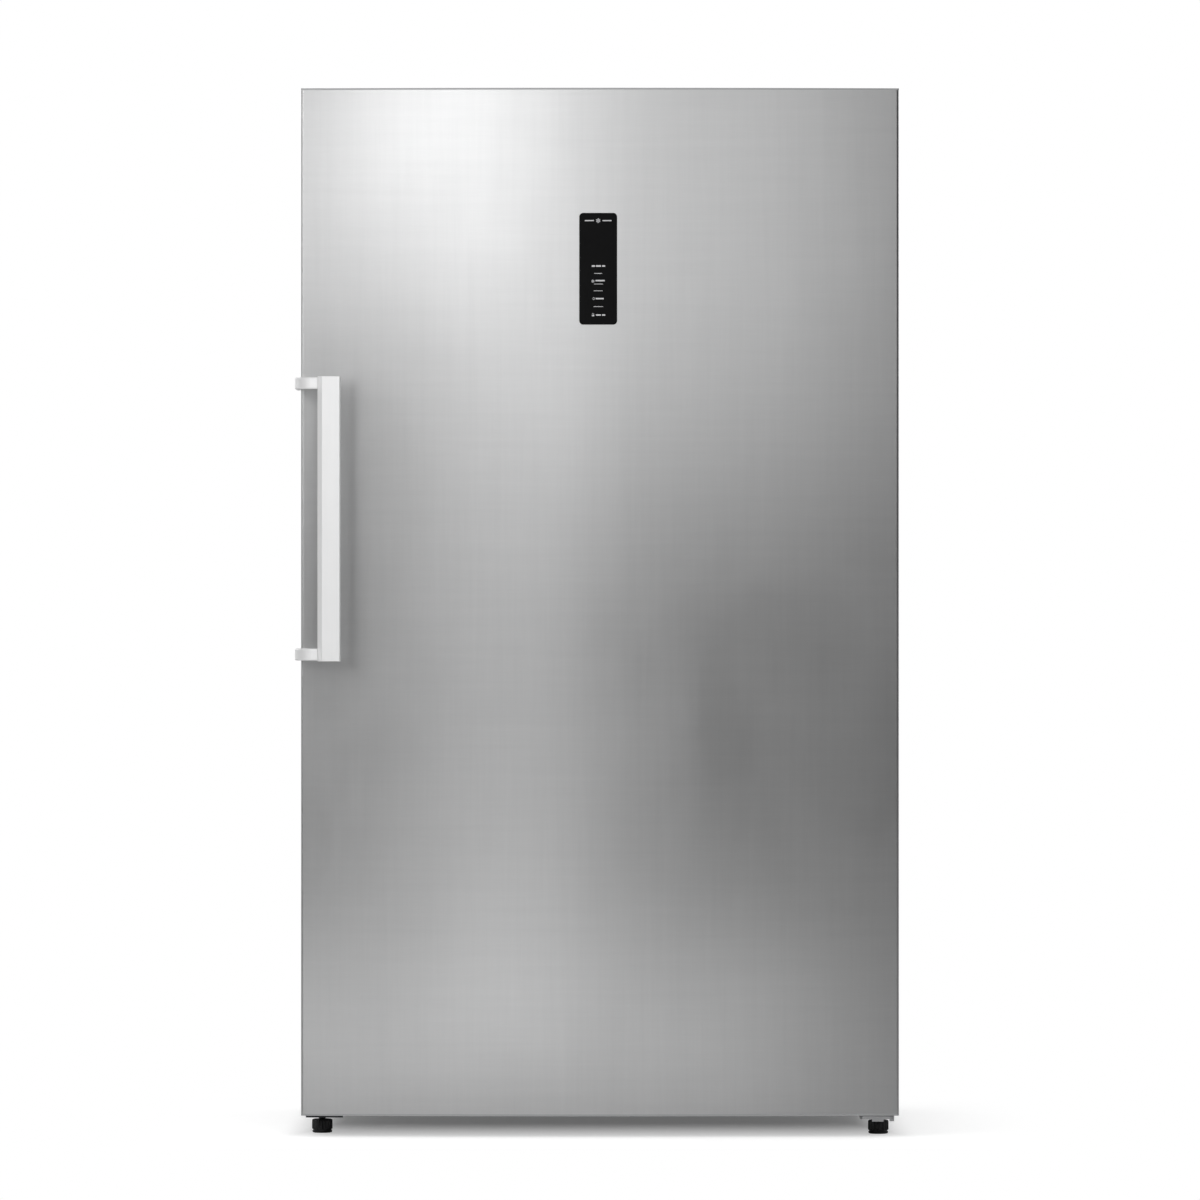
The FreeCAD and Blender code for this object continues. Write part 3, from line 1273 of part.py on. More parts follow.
def handle_bracket(label, low):
    """Elbow from the door's side, forward past its edge and round to the bar's left face."""
    high = f"{low} + bracket_height"
    bend, inner = "sqrt(0.5)", "(elbow - bracket_thick)"
    plan = [
        ("-door_half", "door_edge_y + bracket_foot"), ("bracket_x", "door_edge_y + bracket_foot"),
        ("bracket_x", "elbow_y"),
        (f"bar_left_x - elbow * {bend}", f"elbow_y - elbow * {bend}", "arc"),
        ("bar_left_x", "elbow_y - elbow"), ("bar_left_x", "elbow_y - elbow + bracket_thick"),
        (f"bar_left_x - {inner} * {bend}", f"elbow_y - {inner} * {bend}", "arc"),
        ("-door_half", "elbow_y"),
    ]
    body = new_body(label)
    prism(body, "XY", [plan], low, high)
    tail = edges_along(body.Tip.Shape, "Z", ("bracket_x", "door_edge_y + bracket_foot"))
    round_off(body, tail, "5")

    def on_outside(middle):
        return middle.x < value("bar_left_x") - 0.5 and (
            middle.x < value("bracket_x") + 6 or middle.y < value("elbow_y") - 15
        )

    rims = [name for level in (low, high) for name in edges_level(body.Tip.Shape, "Z", level, on_outside)]
    round_off(body, rims, "2.2")
    for back in SCREW_BACKS:
        centre = (f"door_edge_y + {back}", f"{low} + bracket_height / 2")
        hole = ("circle", *centre, "handle_screw_radius + 0.05")
        prism(body, "YZ", [hole], "bracket_x - 1", "-door_half + 1", remove=True)


def handle_screws():
    screws = []
    for name, low in BRACKETS.items():
        for back in SCREW_BACKS:
            centre = (f"door_edge_y + {back}", f"{low} + bracket_height / 2")
            title = f"{name}_screw_{back}"
            ends = ("bracket_x + 0.4", "-door_half")
            head = rod(title + "_head", "X", "handle_screw_radius", centre, *ends)
            socket = rod(title + "_socket", "X", "1.6", centre, "bracket_x", "bracket_x + 3")
            screws.append(cut(title, head, [socket]))
    finish(group("handle_screws_grouped", screws), "handle_screws")


BRACKETS = {
    "handle_bracket_lower": "handle_bottom + 1",
    "handle_bracket_upper": "handle_bottom + handle_length - 1 - bracket_height",
}


# ------------------------------------------------------------------------- bins
def door_bin(number):
    """Bin between the liner's ribs: high at the back, lower in front, open above."""
    low = f"rib_bottom + bin_first + {number - 1} * bin_pitch"
    side = "rib_half - rib_width - bin_clearance"
    front = "face_y + bin_reach"
    profile = [
        ("door_back_y", low), (f"{front} - 12", low), (front, f"{low} + 12"),
        (f"{front} + 3", f"{low} + bin_height * 0.72"),
        ("door_back_y + 34", f"{low} + bin_height"), ("door_back_y", f"{low} + bin_height"),
    ]
    body = new_body(f"door_bin_{number}")
    prism(body, "YZ", [profile], minus(side), side)
    hollow = f"{side} - bin_wall"
    inside = rounded(minus(hollow), hollow, "door_back_y + bin_wall", f"{front} - bin_wall", "10")
    prism(body, "XY", [inside], f"{low} + bin_wall", f"{low} + bin_height + 1", remove=True)


# ------------------------------------------------------------------------ build
def build_cabinet():
    side_panel("side_panel_left", "-1")
    side_panel("side_panel_right", "1")
    top_panel()
    back_panel()
    front_beam()
    base_pan()
    cabinet_foam()
    inner_liner()
    upper_hinge()
    lower_hinge()
    foot_bracket()
    for label in FOOT_SPOTS:
        foot(label)
    roller("roller_left", "-1")
    roller("roller_right", "1")
    cabinet_screws()


def build_machine_bay():
    compressor_tray()
    compressor()
    compressor_mounts()
    condenser_coil()
    drip_tray()
    condenser_fan_mount()
    hub = (f"{FAN_X} - 12", f"{FAN_X} + 8")
    fan_blade("condenser_fan_blade", "X", (COMPRESSOR_Y, FAN_Z), *hub, "fan_radius")
    filter_drier()
    control_board()
    rear_cover()
    power_inlet()


def build_cold_side():
    evaporator_coil()
    defrost_heater()
    evaporator_cover()
    evaporator_fan_motor()
    hub = ("cavity_back_y - 66", "cavity_back_y - 46")
    fan_blade("evaporator_fan_blade", "Y", ("0", COLD_FAN_Z), *hub, "fan_radius - 8")
    light_module()
    wall_rails()
    for order, name in enumerate(SHELVES):
        shelf(name, order)
    for name in DRAWERS:
        drawer(name)


def build_door():
    door_skin()
    door_caps()
    door_foam()
    door_liner()
    door_gasket()
    hinge_bushes()
    control_panel()
    handle_bar()
    for label, low in BRACKETS.items():
        handle_bracket(label, low)
    handle_screws()
    for number in range(1, 5):
        door_bin(number)


def check_all():
    """Stops if any object failed or any sub-part has no sound shape."""
    doc.recompute()
    for thing in doc.Objects:
        if {"Invalid", "Error"} & set(thing.State):
            raise RuntimeError(f"{thing.Label} failed: {thing.State}")
    for node in nodes:
        if node.Shape.isNull() or not node.Shape.isValid() or not node.Shape.Solids:
            raise RuntimeError(f"{node.Label} has no sound shape")


def write_parts():
    os.makedirs("parts", exist_ok=True)
    for node in nodes:
        node.Shape.exportStep(f"parts/{node.Label}.step")


fill_sheet()
build_cabinet()
build_machine_bay()
build_cold_side()
build_door()
check_all()
write_parts()
print(f"{len(nodes)} sub-parts written")
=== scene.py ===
"""Looks of the upright freezer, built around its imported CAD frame.

Everything is in metres in the CAD frame: +Z up from the floor, the door faces -Y, the handle is at -X.
"""
import json
import math

import bmesh
import bpy
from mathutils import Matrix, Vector


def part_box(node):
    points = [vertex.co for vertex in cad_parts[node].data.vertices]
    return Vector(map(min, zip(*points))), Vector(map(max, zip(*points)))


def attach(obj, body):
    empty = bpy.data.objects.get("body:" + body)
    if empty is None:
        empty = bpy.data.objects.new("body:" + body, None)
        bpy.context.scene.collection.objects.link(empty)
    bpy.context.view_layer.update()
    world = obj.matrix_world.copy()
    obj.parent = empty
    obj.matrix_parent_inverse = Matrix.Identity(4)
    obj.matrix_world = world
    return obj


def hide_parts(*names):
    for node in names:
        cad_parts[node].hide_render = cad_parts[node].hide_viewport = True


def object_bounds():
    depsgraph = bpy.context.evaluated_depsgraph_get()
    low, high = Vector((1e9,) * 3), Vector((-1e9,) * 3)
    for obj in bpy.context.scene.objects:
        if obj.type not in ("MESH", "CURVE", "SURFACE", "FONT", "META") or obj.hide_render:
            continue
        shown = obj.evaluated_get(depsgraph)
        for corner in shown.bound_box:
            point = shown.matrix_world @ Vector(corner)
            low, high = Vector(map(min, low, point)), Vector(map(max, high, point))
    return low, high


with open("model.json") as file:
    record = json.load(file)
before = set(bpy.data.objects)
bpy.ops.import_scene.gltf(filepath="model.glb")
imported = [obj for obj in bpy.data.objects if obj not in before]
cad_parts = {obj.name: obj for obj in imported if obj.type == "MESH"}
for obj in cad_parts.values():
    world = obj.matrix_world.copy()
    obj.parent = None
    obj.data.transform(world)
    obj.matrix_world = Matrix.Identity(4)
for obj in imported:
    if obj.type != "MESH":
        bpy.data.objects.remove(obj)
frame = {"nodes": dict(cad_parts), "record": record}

CAD_BOX = [list(corner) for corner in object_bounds()]
NODES = frame["nodes"]
MM = 0.001


# ------------------------------------------------------------------ camera
SENSOR_WIDTH_MM = 36.0
PHOTO_WIDTH_AT_DOOR = 1.6637    # width that the whole picture takes in, at the door's front
PHOTO_MIDDLE_HEIGHT = 0.7458    # height over the floor of the picture's middle row
CAMERA_DISTANCE = 12.0
CLIP_NEAR, CLIP_FAR = 0.1, 100.0
DOOR_FRONT_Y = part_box("door_skin")[0].y


def make_camera():
    """Straight on, level, at the height of the picture's middle row."""
    data = bpy.data.cameras.new("camera")
    data.sensor_width = SENSOR_WIDTH_MM
    data.lens = SENSOR_WIDTH_MM * CAMERA_DISTANCE / PHOTO_WIDTH_AT_DOOR
    data.clip_start, data.clip_end = CLIP_NEAR, CLIP_FAR
    camera = bpy.data.objects.new("camera", data)
    camera.location = (0.0, DOOR_FRONT_Y - CAMERA_DISTANCE, PHOTO_MIDDLE_HEIGHT)
    camera.rotation_euler = (math.radians(90), 0, 0)
    bpy.context.scene.collection.objects.link(camera)
    bpy.context.scene.camera = camera


# ---------------------------------------------------- how a finish is built
# The Mix node's sockets share their names, so they are taken by place.
MIX_COLOURS, MIX_COLOUR_RESULT = (6, 7), 2
MIX_NUMBERS, MIX_NUMBER_RESULT = (2, 3), 0
BEVEL_SAMPLES = 4
EDGE_TURN, FLAT_TURN = 0.80, 0.99    # cosine between bevelled and real normal, on edges and on flats


class Finish:
    """One Principled material and the node graph that feeds it, in object coordinates."""

    def __init__(self, name, **numbers):
        self.material = bpy.data.materials.new(name)
        self.material.use_nodes = True
        self.tree = self.material.node_tree
        self.shader = self.tree.nodes["Principled BSDF"]
        self.place = self.add("ShaderNodeTexCoord").outputs["Object"]
        self.normal = None
        for socket, number in numbers.items():
            label = socket.replace("_", " ").title().replace("Ior", "IOR")
            self.shader.inputs[label].default_value = number

    def add(self, kind, **settings):
        node = self.tree.nodes.new(kind)
        for key, setting in settings.items():
            setattr(node, key, setting)
        return node

    def link(self, start, end):
        self.tree.links.new(start, end)

    def axes(self):
        """The object coordinates' X, Y and Z, an output each."""
        split = self.add("ShaderNodeSeparateXYZ")
        self.link(self.place, split.inputs[0])
        return split.outputs

    def mapped(self, cells):
        """Object coordinates in cells a metre: one number, or one for each axis."""
        node = self.add("ShaderNodeMapping")
        node.inputs["Scale"].default_value = cells if isinstance(cells, tuple) else (cells,) * 3
        self.link(self.place, node.inputs["Vector"])
        return node.outputs["Vector"]

    def noise(self, cells, detail=3, roughness=0.5, distortion=0.0):
        node = self.add("ShaderNodeTexNoise")
        self.link(self.mapped(cells), node.inputs["Vector"])
        node.inputs["Scale"].default_value = 1.0
        node.inputs["Detail"].default_value = detail
        node.inputs["Roughness"].default_value = roughness
        node.inputs["Distortion"].default_value = distortion
        return node.outputs["Fac"]

    def cells(self, cells, output="Distance"):
        node = self.add("ShaderNodeTexVoronoi")
        self.link(self.mapped(cells), node.inputs["Vector"])
        node.inputs["Scale"].default_value = 1.0
        return node.outputs[output]

    def patches(self, cells):
        """A random red, green and blue for each cell, an output each."""
        split = self.add("ShaderNodeSeparateColor")
        self.link(self.cells(cells, "Color"), split.inputs["Color"])
        return split.outputs

    def math(self, operation, first, second=None):
        node = self.add("ShaderNodeMath", operation=operation)
        for slot, value in enumerate((first, second)):
            if value is None:
                continue
            if isinstance(value, (int, float)):
                node.inputs[slot].default_value = value
            else:
                self.link(value, node.inputs[slot])
        return node.outputs[0]

    def weighted(self, *pairs):
        """The sum of two outputs, each given with its weight."""
        return self.math("ADD", *(self.math("MULTIPLY", output, weight) for output, weight in pairs))

    def ranged(self, fac, low, high, start=0.0, stop=1.0, smooth=False):
        """Turns start to stop into low to high, held at both ends."""
        node = self.add("ShaderNodeMapRange")
        if smooth:
            node.interpolation_type = "SMOOTHSTEP"
        self.link(fac, node.inputs["Value"])
        node.inputs["From Min"].default_value = start
        node.inputs["From Max"].default_value = stop
        node.inputs["To Min"].default_value = low
        node.inputs["To Max"].default_value = high
        return node.outputs["Result"]

    def blend(self, fac, low, high):
        """A colour between two, each a tuple or another node's output."""
        node = self.add("ShaderNodeMix", data_type="RGBA")
        self.link(fac, node.inputs["Factor"])
        for slot, colour in zip(MIX_COLOURS, (low, high)):
            if isinstance(colour, tuple):
                node.inputs[slot].default_value = (*colour, 1.0)
            else:
                self.link(colour, node.inputs[slot])
        return node.outputs[MIX_COLOUR_RESULT]

    def colour(self, output):
        self.link(output, self.shader.inputs["Base Color"])

    def rough(self, output):
        self.link(output, self.shader.inputs["Roughness"])

    def rough_about(self, fac, middle, spread):
        self.rough(self.ranged(fac, middle - spread, middle + spread))

    def bump(self, height, depth, strength=1.0):
        """Adds one relief of a real depth in metres on top of those before it."""
        node = self.add("ShaderNodeBump")
        node.inputs["Strength"].default_value = strength
        node.inputs["Distance"].default_value = depth
        self.link(height, node.inputs["Height"])
        if self.normal:
            self.link(self.normal, node.inputs["Normal"])
        self.normal = node.outputs["Normal"]
        self.link(self.normal, self.shader.inputs["Normal"])

    def edge_wear(self, reach):
        """1 on sharp edges and 0 on flats, from how far a bevelled normal turns."""
        bevel = self.add("ShaderNodeBevel", samples=BEVEL_SAMPLES)
        bevel.inputs["Radius"].default_value = reach
        here = self.add("ShaderNodeNewGeometry").outputs["Normal"]
        dot = self.add("ShaderNodeVectorMath", operation="DOT_PRODUCT")
        self.link(bevel.outputs["Normal"], dot.inputs[0])
        self.link(here, dot.inputs[1])
        return self.ranged(dot.outputs["Value"], 1.0, 0.0, start=EDGE_TURN, stop=FLAT_TURN)


def shade(colour, factor):
    return tuple(min(1.0, c * factor) for c in colour)


# ---------------------------------------------------------------- finishes
def moulded(name, colour, rough, grain=1400, depth=0.02 * MM, spread=0.05):
    """Moulded plastic: fine spark-eroded grain, slow tone drift and uneven gloss."""
    f = Finish(name)
    drift = f.noise(9, detail=2)
    f.colour(f.blend(drift, shade(colour, 1 - spread), shade(colour, 1 + spread)))
    f.rough_about(f.noise(60, detail=4), rough, 0.06)
    f.bump(f.noise(grain, detail=2), depth)
    return f.material


def painted(name, colour, rough, peel=420):
    """Powder paint on sheet steel: orange peel, faint dirt and lighter worn edges."""
    f = Finish(name, specular_ior_level=0.5)
    dirt = f.noise((5, 5, 3), detail=5, roughness=0.6)
    paint = f.blend(dirt, shade(colour, 0.93), shade(colour, 1.06))
    scuffs = f.math("MULTIPLY", f.edge_wear(1.2 * MM), f.noise(150))
    worn = f.ranged(scuffs, 0, 0.55, start=0.25, stop=0.6)
    f.colour(f.blend(worn, paint, shade(colour, 1.7)))
    f.rough_about(f.noise(25, detail=4), rough, 0.07)
    f.bump(f.noise(peel, detail=2), 0.05 * MM)
    return f.material


def stainless(name):
    """Cross-brushed steel sheet: hair-fine lines both ways, broader soft streaks and faint smears."""
    f = Finish(name, metallic=1.0)
    dark, pale = (0.585, 0.588, 0.592), (0.655, 0.656, 0.657)
    down = f.noise((1500, 900, 9), detail=4, roughness=0.7)
    across = f.noise((9, 900, 1500), detail=4, roughness=0.7)
    hair = f.weighted((down, 0.5), (across, 0.5))
    streak_down = f.noise((95, 60, 4), roughness=0.6)
    streak_across = f.noise((4, 60, 95), roughness=0.6)
    streak = f.weighted((streak_down, 0.5), (streak_across, 0.5))
    tone = f.weighted((hair, 0.55), (streak, 0.45))
    f.colour(f.blend(f.ranged(tone, 0, 1, start=0.3, stop=0.7), dark, pale))
    smear = f.noise((5, 5, 3), detail=4, roughness=0.6, distortion=0.6)
    from_hair = f.ranged(hair, -0.035, 0.035, start=0.3, stop=0.7)
    from_smear = f.ranged(smear, 0.34, 0.38, start=0.35, stop=0.65)
    f.rough(f.math("ADD", from_hair, from_smear))
    f.bump(down, 0.006 * MM)
    f.bump(across, 0.006 * MM)
    return f.material


def satin_aluminium(name):
    """Bead-blasted and anodised bar: pale, very fine grain with a trace of the extrusion's lines."""
    f = Finish(name, metallic=0.40, specular_ior_level=0.6)
    dark, pale = (0.935, 0.937, 0.940), (0.985, 0.985, 0.985)
    drawn = f.noise((700, 700, 6), roughness=0.6)
    fine = f.noise(2600, detail=2)
    tone = f.weighted((drawn, 0.6), (fine, 0.4))
    f.colour(f.blend(f.ranged(tone, 0, 1, start=0.3, stop=0.7), dark, pale))
    f.rough(f.ranged(f.noise((80, 80, 20), detail=4), 0.50, 0.60))
    f.bump(fine, 0.010 * MM)
    f.bump(drawn, 0.006 * MM)
    return f.material


def galvanised(name):
    """Zinc-coated sheet with crystal spangles of different brightness."""
    f = Finish(name, metallic=0.9)
    dark, pale = (0.46, 0.47, 0.48), (0.66, 0.67, 0.68)
    crystals = f.patches(85)
    spangle = f.weighted((crystals["Red"], 0.6), (f.noise(30), 0.4))
    f.colour(f.blend(spangle, dark, pale))
    f.rough(f.ranged(crystals["Green"], 0.34, 0.52))
    f.bump(f.noise(500), 0.01 * MM)
    return f.material


def liner_plastic(name, colour):
    """Vacuum-formed sheet: semi-gloss with the slow waves of a drawn surface."""
    f = Finish(name, specular_ior_level=0.5, coat_weight=0.15, coat_roughness=0.25)
    f.colour(f.blend(f.noise(4), shade(colour, 0.965), shade(colour, 1.02)))
    f.rough(f.ranged(f.noise(40, detail=4), 0.26, 0.38))
    f.bump(f.noise(14, detail=1), 0.25 * MM, strength=0.6)
    f.bump(f.noise(1200, detail=2), 0.008 * MM)
    return f.material


def gloss_black(name):
    """Printed glass of the touch panel: deep black, polished, with faint dust and finger marks."""
    f = Finish(name, coat_weight=0.05, coat_roughness=0.05, specular_ior_level=0.04)
    clean, dusty = (0.0028, 0.0028, 0.0030), (0.0052, 0.0052, 0.0055)
    smudge = f.noise((120, 120, 60), detail=5, roughness=0.6, distortion=1.0)
    f.colour(f.blend(smudge, clean, dusty))
    f.rough(f.ranged(smudge, 0.06, 0.20, start=0.3, stop=0.7))
    f.bump(f.noise(20, detail=1), 0.02 * MM)
    return f.material


def printed_ink(name):
    """Pale grey screen print, a little uneven."""
    f = Finish(name)
    thin, full = (0.42, 0.42, 0.43), (0.78, 0.78, 0.79)
    f.colour(f.blend(f.noise(900), thin, full))
    f.rough(f.ranged(f.noise(500, detail=2), 0.35, 0.5))
    return f.material


def bare_metal(name, colour, rough, marks):
    """Plated or drawn metal with slow tarnish; marks are the cells a metre of its fine lines."""
    f = Finish(name, metallic=1.0)
    lines = f.noise(marks, detail=4, roughness=0.6)
    f.colour(f.blend(f.noise(30, detail=4), shade(colour, 0.86), shade(colour, 1.08)))
    f.rough_about(lines, rough, 0.09)
    f.bump(lines, 0.012 * MM)
    return f.material


def rubber(name, colour, grain=900):
    """Soft extrusion: matt, slightly bloomed, with a fine skin texture."""
    f = Finish(name, specular_ior_level=0.35)
    bloom = f.noise(35, detail=5, roughness=0.6)
    f.colour(f.blend(bloom, shade(colour, 0.86), shade(colour, 1.14)))
    f.rough(f.ranged(bloom, 0.55, 0.72))
    f.bump(f.noise(grain), 0.03 * MM)
    return f.material


def clear_plastic(name, tint, rough, cover):
    """Clear polystyrene moulding: tinted, with flow lines and handling scratches."""
    f = Finish(name, transmission_weight=cover, ior=1.49)
    flow = f.noise((8, 8, 30), detail=4, roughness=0.6, distortion=1.5)
    f.colour(f.blend(flow, shade(tint, 0.95), shade(tint, 1.02)))
    scratch = f.noise((900, 30, 500), detail=4, roughness=0.7)
    f.rough(f.ranged(scratch, rough, rough + 0.14, start=0.45, stop=0.75))
    f.bump(flow, 0.12 * MM, strength=0.5)
    return f.material


def shelf_glass(name):
    """Toughened float glass with a green body and faint wiping marks."""
    f = Finish(name, transmission_weight=0.94, ior=1.5)
    green, pale = (0.80, 0.905, 0.865), (0.86, 0.94, 0.91)
    haze = f.noise((30, 12, 30), detail=5, roughness=0.6, distortion=0.8)
    f.colour(f.blend(haze, green, pale))
    f.rough(f.ranged(haze, 0.01, 0.09, start=0.4, stop=0.75))
    f.bump(f.noise(5, detail=1), 0.05 * MM)
    return f.material


def foam(name):
    """Polyurethane foam: pale yellow with open cells, painted shade in the cells' pits and darker knots."""
    f = Finish(name, specular_ior_level=0.2, subsurface_weight=0.1, subsurface_scale=0.004)
    pore_shade_and_knot, pale = (0.80, 0.71, 0.47), (0.90, 0.84, 0.64)
    pores = f.cells(420)
    # painted shade: the colour darkens in each pore's pit, where the bump sinks, and also in broad random
    # patches for knots
    f.colour(f.blend(f.math("MULTIPLY", pores, f.noise(20)), pore_shade_and_knot, pale))
    f.rough(f.ranged(pores, 0.80, 0.98))
    f.bump(pores, 0.5 * MM, strength=0.7)
    return f.material


def circuit_board(name, plate_y):
    """Green solder mask with tracks on the plate; parts that stand off it turn dark or pale."""
    f = Finish(name)
    dark_part, pale_part = (0.025, 0.025, 0.028), (0.42, 0.36, 0.20)
    axes = f.axes()
    flat = f.add("ShaderNodeCombineXYZ")
    f.link(axes["X"], flat.inputs["X"])
    f.link(axes["Z"], flat.inputs["Y"])
    tracks = f.add("ShaderNodeTexBrick")
    f.link(flat.outputs[0], tracks.inputs["Vector"])
    tracks.inputs["Scale"].default_value = 110
    tracks.inputs["Mortar Size"].default_value = 0.035
    tracks.inputs["Color1"].default_value = (0.012, 0.115, 0.045, 1)
    tracks.inputs["Color2"].default_value = (0.018, 0.150, 0.060, 1)
    tracks.inputs["Mortar"].default_value = (0.05, 0.27, 0.11, 1)
    kind = f.ranged(f.patches((38, 1, 38))["Red"], 0, 1, start=0.45, stop=0.55)
    parts = f.blend(kind, dark_part, pale_part)
    raised = f.ranged(axes["Y"], 0, 1, start=plate_y, stop=plate_y + 0.4 * MM)
    f.colour(f.blend(raised, tracks.outputs["Color"], parts))
    f.rough(f.ranged(f.noise(200), 0.30, 0.55))
    f.bump(tracks.outputs["Fac"], 0.05 * MM)
    return f.material


def frosted_lens(name):
    """Opal lens over a row of small lamps, with painted shade in its prism grooves and a painted highlight
    on its crests.
    """
    f = Finish(name, transmission_weight=0.35, ior=1.45, specular_ior_level=0.5)
    groove_shade, crest_highlight = (0.86, 0.88, 0.90), (0.95, 0.96, 0.97)
    prism = f.add("ShaderNodeTexWave", bands_direction="X")
    f.link(f.place, prism.inputs["Vector"])
    prism.inputs["Scale"].default_value = 60
    prism.inputs["Distortion"].default_value = 0.2
    # painted shade and highlight: the colour goes darker in the prism's grooves and lighter on its crests
    f.colour(f.blend(prism.outputs["Fac"], groove_shade, crest_highlight))
    f.rough(f.ranged(f.noise(90), 0.30, 0.45))
    f.bump(prism.outputs["Fac"], 0.3 * MM, strength=0.7)
    return f.material


BOARD_PLATE_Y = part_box("control_board")[0].y + 9.8 * MM    # the plate's face that carries the parts
SLOTS = {
    "cabinet_paint": painted("cabinet_paint", (0.335, 0.342, 0.350), 0.42),
    "galvanised": galvanised("galvanised"),
    "foam": foam("foam"),
    "white_liner": liner_plastic("white_liner", (0.83, 0.84, 0.84)),
    "hinge_steel": bare_metal("hinge_steel", (0.62, 0.62, 0.63), 0.36, (40, 700, 700)),
    "grey_plastic": moulded("grey_plastic", (0.36, 0.37, 0.385), 0.50),
    "black_steel": painted("black_steel", (0.020, 0.020, 0.022), 0.38, peel=300),
    "black_plastic": moulded("black_plastic", (0.020, 0.020, 0.021), 0.48, grain=1100, spread=0.15),
    "screw_steel": bare_metal("screw_steel", (0.66, 0.66, 0.67), 0.26, 900),
    "rubber": rubber("rubber", (0.030, 0.030, 0.031)),
    "coil_steel": painted("coil_steel", (0.035, 0.035, 0.037), 0.45, peel=800),
    "copper": bare_metal("copper", (0.74, 0.36, 0.22), 0.30, (400, 400, 60)),
    "board_green": circuit_board("board_green", BOARD_PLATE_Y),
    "coil_aluminium": bare_metal("coil_aluminium", (0.76, 0.77, 0.78), 0.38, (50, 900, 900)),
    "lens": frosted_lens("lens"),
    "shelf_glass": shelf_glass("shelf_glass"),
    "white_trim": moulded("white_trim", (0.82, 0.83, 0.84), 0.36, grain=1800, depth=0.01 * MM, spread=0.02),
    "clear_drawer": clear_plastic("clear_drawer", (0.86, 0.91, 0.94), 0.10, cover=0.88),
    "clear_bin": clear_plastic("clear_bin", (0.90, 0.94, 0.96), 0.07, cover=0.90),
    "stainless": stainless("stainless"),
    "cap_plastic": moulded("cap_plastic", (0.42, 0.425, 0.43), 0.40, grain=1600),
    "gasket_rubber": rubber("gasket_rubber", (0.50, 0.51, 0.52), grain=700),
    "panel_black": gloss_black("panel_black"),
    "satin_metal": satin_aluminium("satin_metal"),
}


def paint_nodes():
    """Gives each CAD node the finish of its material slot."""
    for part in frame["record"]["subparts"]:
        mesh = NODES[part["node"]].data
        mesh.materials.clear()
        mesh.materials.append(SLOTS[part["material_slot"]])


# ------------------------------------------------------------- mesh helpers
SMOOTH_ANGLE = math.radians(35)
WELD_DISTANCE = 1e-6


def new_piece(name, mesh, slot, body, replaced=(), material=None):
    """A piece that rides a body, in the finish of its slot unless it has one of its own."""
    piece = bpy.data.objects.new(name, mesh)
    bpy.context.scene.collection.objects.link(piece)
    mesh.materials.append(material or SLOTS[slot])
    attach(piece, body)
    if replaced:
        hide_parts(*replaced)


def finish_mesh(name, shape):
    """The bmesh as a mesh, with outward normals and soft shading below an angle."""
    bmesh.ops.recalc_face_normals(shape, faces=shape.faces)
    for face in shape.faces:
        face.smooth = True
    for edge in shape.edges:
        if len(edge.link_faces) == 2 and edge.calc_face_angle() > SMOOTH_ANGLE:
            edge.smooth = False
    mesh = bpy.data.meshes.new(name)
    shape.to_mesh(mesh)
    shape.free()
    return mesh


def rounded_path(left, right, low, high, radius, steps):
    """Points and outward directions round a rectangle with round corners, in X and Z."""
    points = []
    corners = (
        (right - radius, high - radius, 0), (left + radius, high - radius, 90),
        (left + radius, low + radius, 180), (right - radius, low + radius, 270),
    )
    for x, z, start in corners:
        for step in range(steps + 1):
            turn = math.radians(start + 90 * step / steps)
            out = (math.cos(turn), math.sin(turn))
            points.append((x + radius * out[0], z + radius * out[1], out))
    return points


def sweep_ring(name, path, profile):
    """A closed profile of (outward, y) points carried round a closed path."""
    shape = bmesh.new()
    rings = []
    for x, z, out in path:
        rings.append([shape.verts.new((x + off * out[0], y, z + off * out[1])) for off, y in profile])
    for here, ring in enumerate(rings):
        after = rings[(here + 1) % len(rings)]
        for side in range(len(profile)):
            nxt = (side + 1) % len(profile)
            shape.faces.new((ring[side], ring[nxt], after[nxt], after[side]))
    return finish_mesh(name, shape)


def lathe(name, outline, centre, axis, count, flute=None):
    """Turns an outline of (radius, level) about an axis. A third value is the point's share of flute."""
    shape = bmesh.new()
    first, second, along = {"Z": (0, 1, 2), "X": (1, 2, 0)}[axis]
    rings = []
    for step in range(count):
        turn = 2 * math.pi * step / count
        ring = []
        for radius, level, *share in outline:
            reach = radius + (flute(turn) * share[0] if flute and share else 0.0)
            spot = [0.0, 0.0, 0.0]
            spot[first] = reach * math.cos(turn)
            spot[second] = reach * math.sin(turn)
            spot[along] = level
            ring.append(shape.verts.new(Vector(spot) + Vector(centre)))
        rings.append(ring)
    for step, ring in enumerate(rings):
        after = rings[(step + 1) % count]
        for side in range(len(outline) - 1):
            shape.faces.new((ring[side], ring[side + 1], after[side + 1], after[side]))
    bmesh.ops.remove_doubles(shape, verts=shape.verts, dist=WELD_DISTANCE)
    bmesh.ops.holes_fill(shape, edges=shape.edges, sides=0)
    return finish_mesh(name, shape)


# ------------------------------------------------------------------ gasket
GASKET_WIDTH_MM = 24
GASKET_CORNER = 26 * MM
GASKET_CORNER_STEPS = 10
GASKET_OUTLINE = (
    # mm from the inner edge, share of the way from the door to the cabinet
    (0.0, 0.00), (0.0, 0.14), (2.2, 0.20), (3.0, 0.30), (1.6, 0.40), (0.9, 0.50),
    (1.5, 0.60), (2.2, 0.70), (2.2, 0.90), (2.9, 0.985), (4.2, 1.00),
    (17.8, 1.00), (19.3, 0.985), (20.2, 0.90), (20.2, 0.70), (21.8, 0.62),
    (23.2, 0.52), (22.6, 0.40), (21.0, 0.32), (21.4, 0.20), (24.0, 0.14), (24.0, 0.00),
)


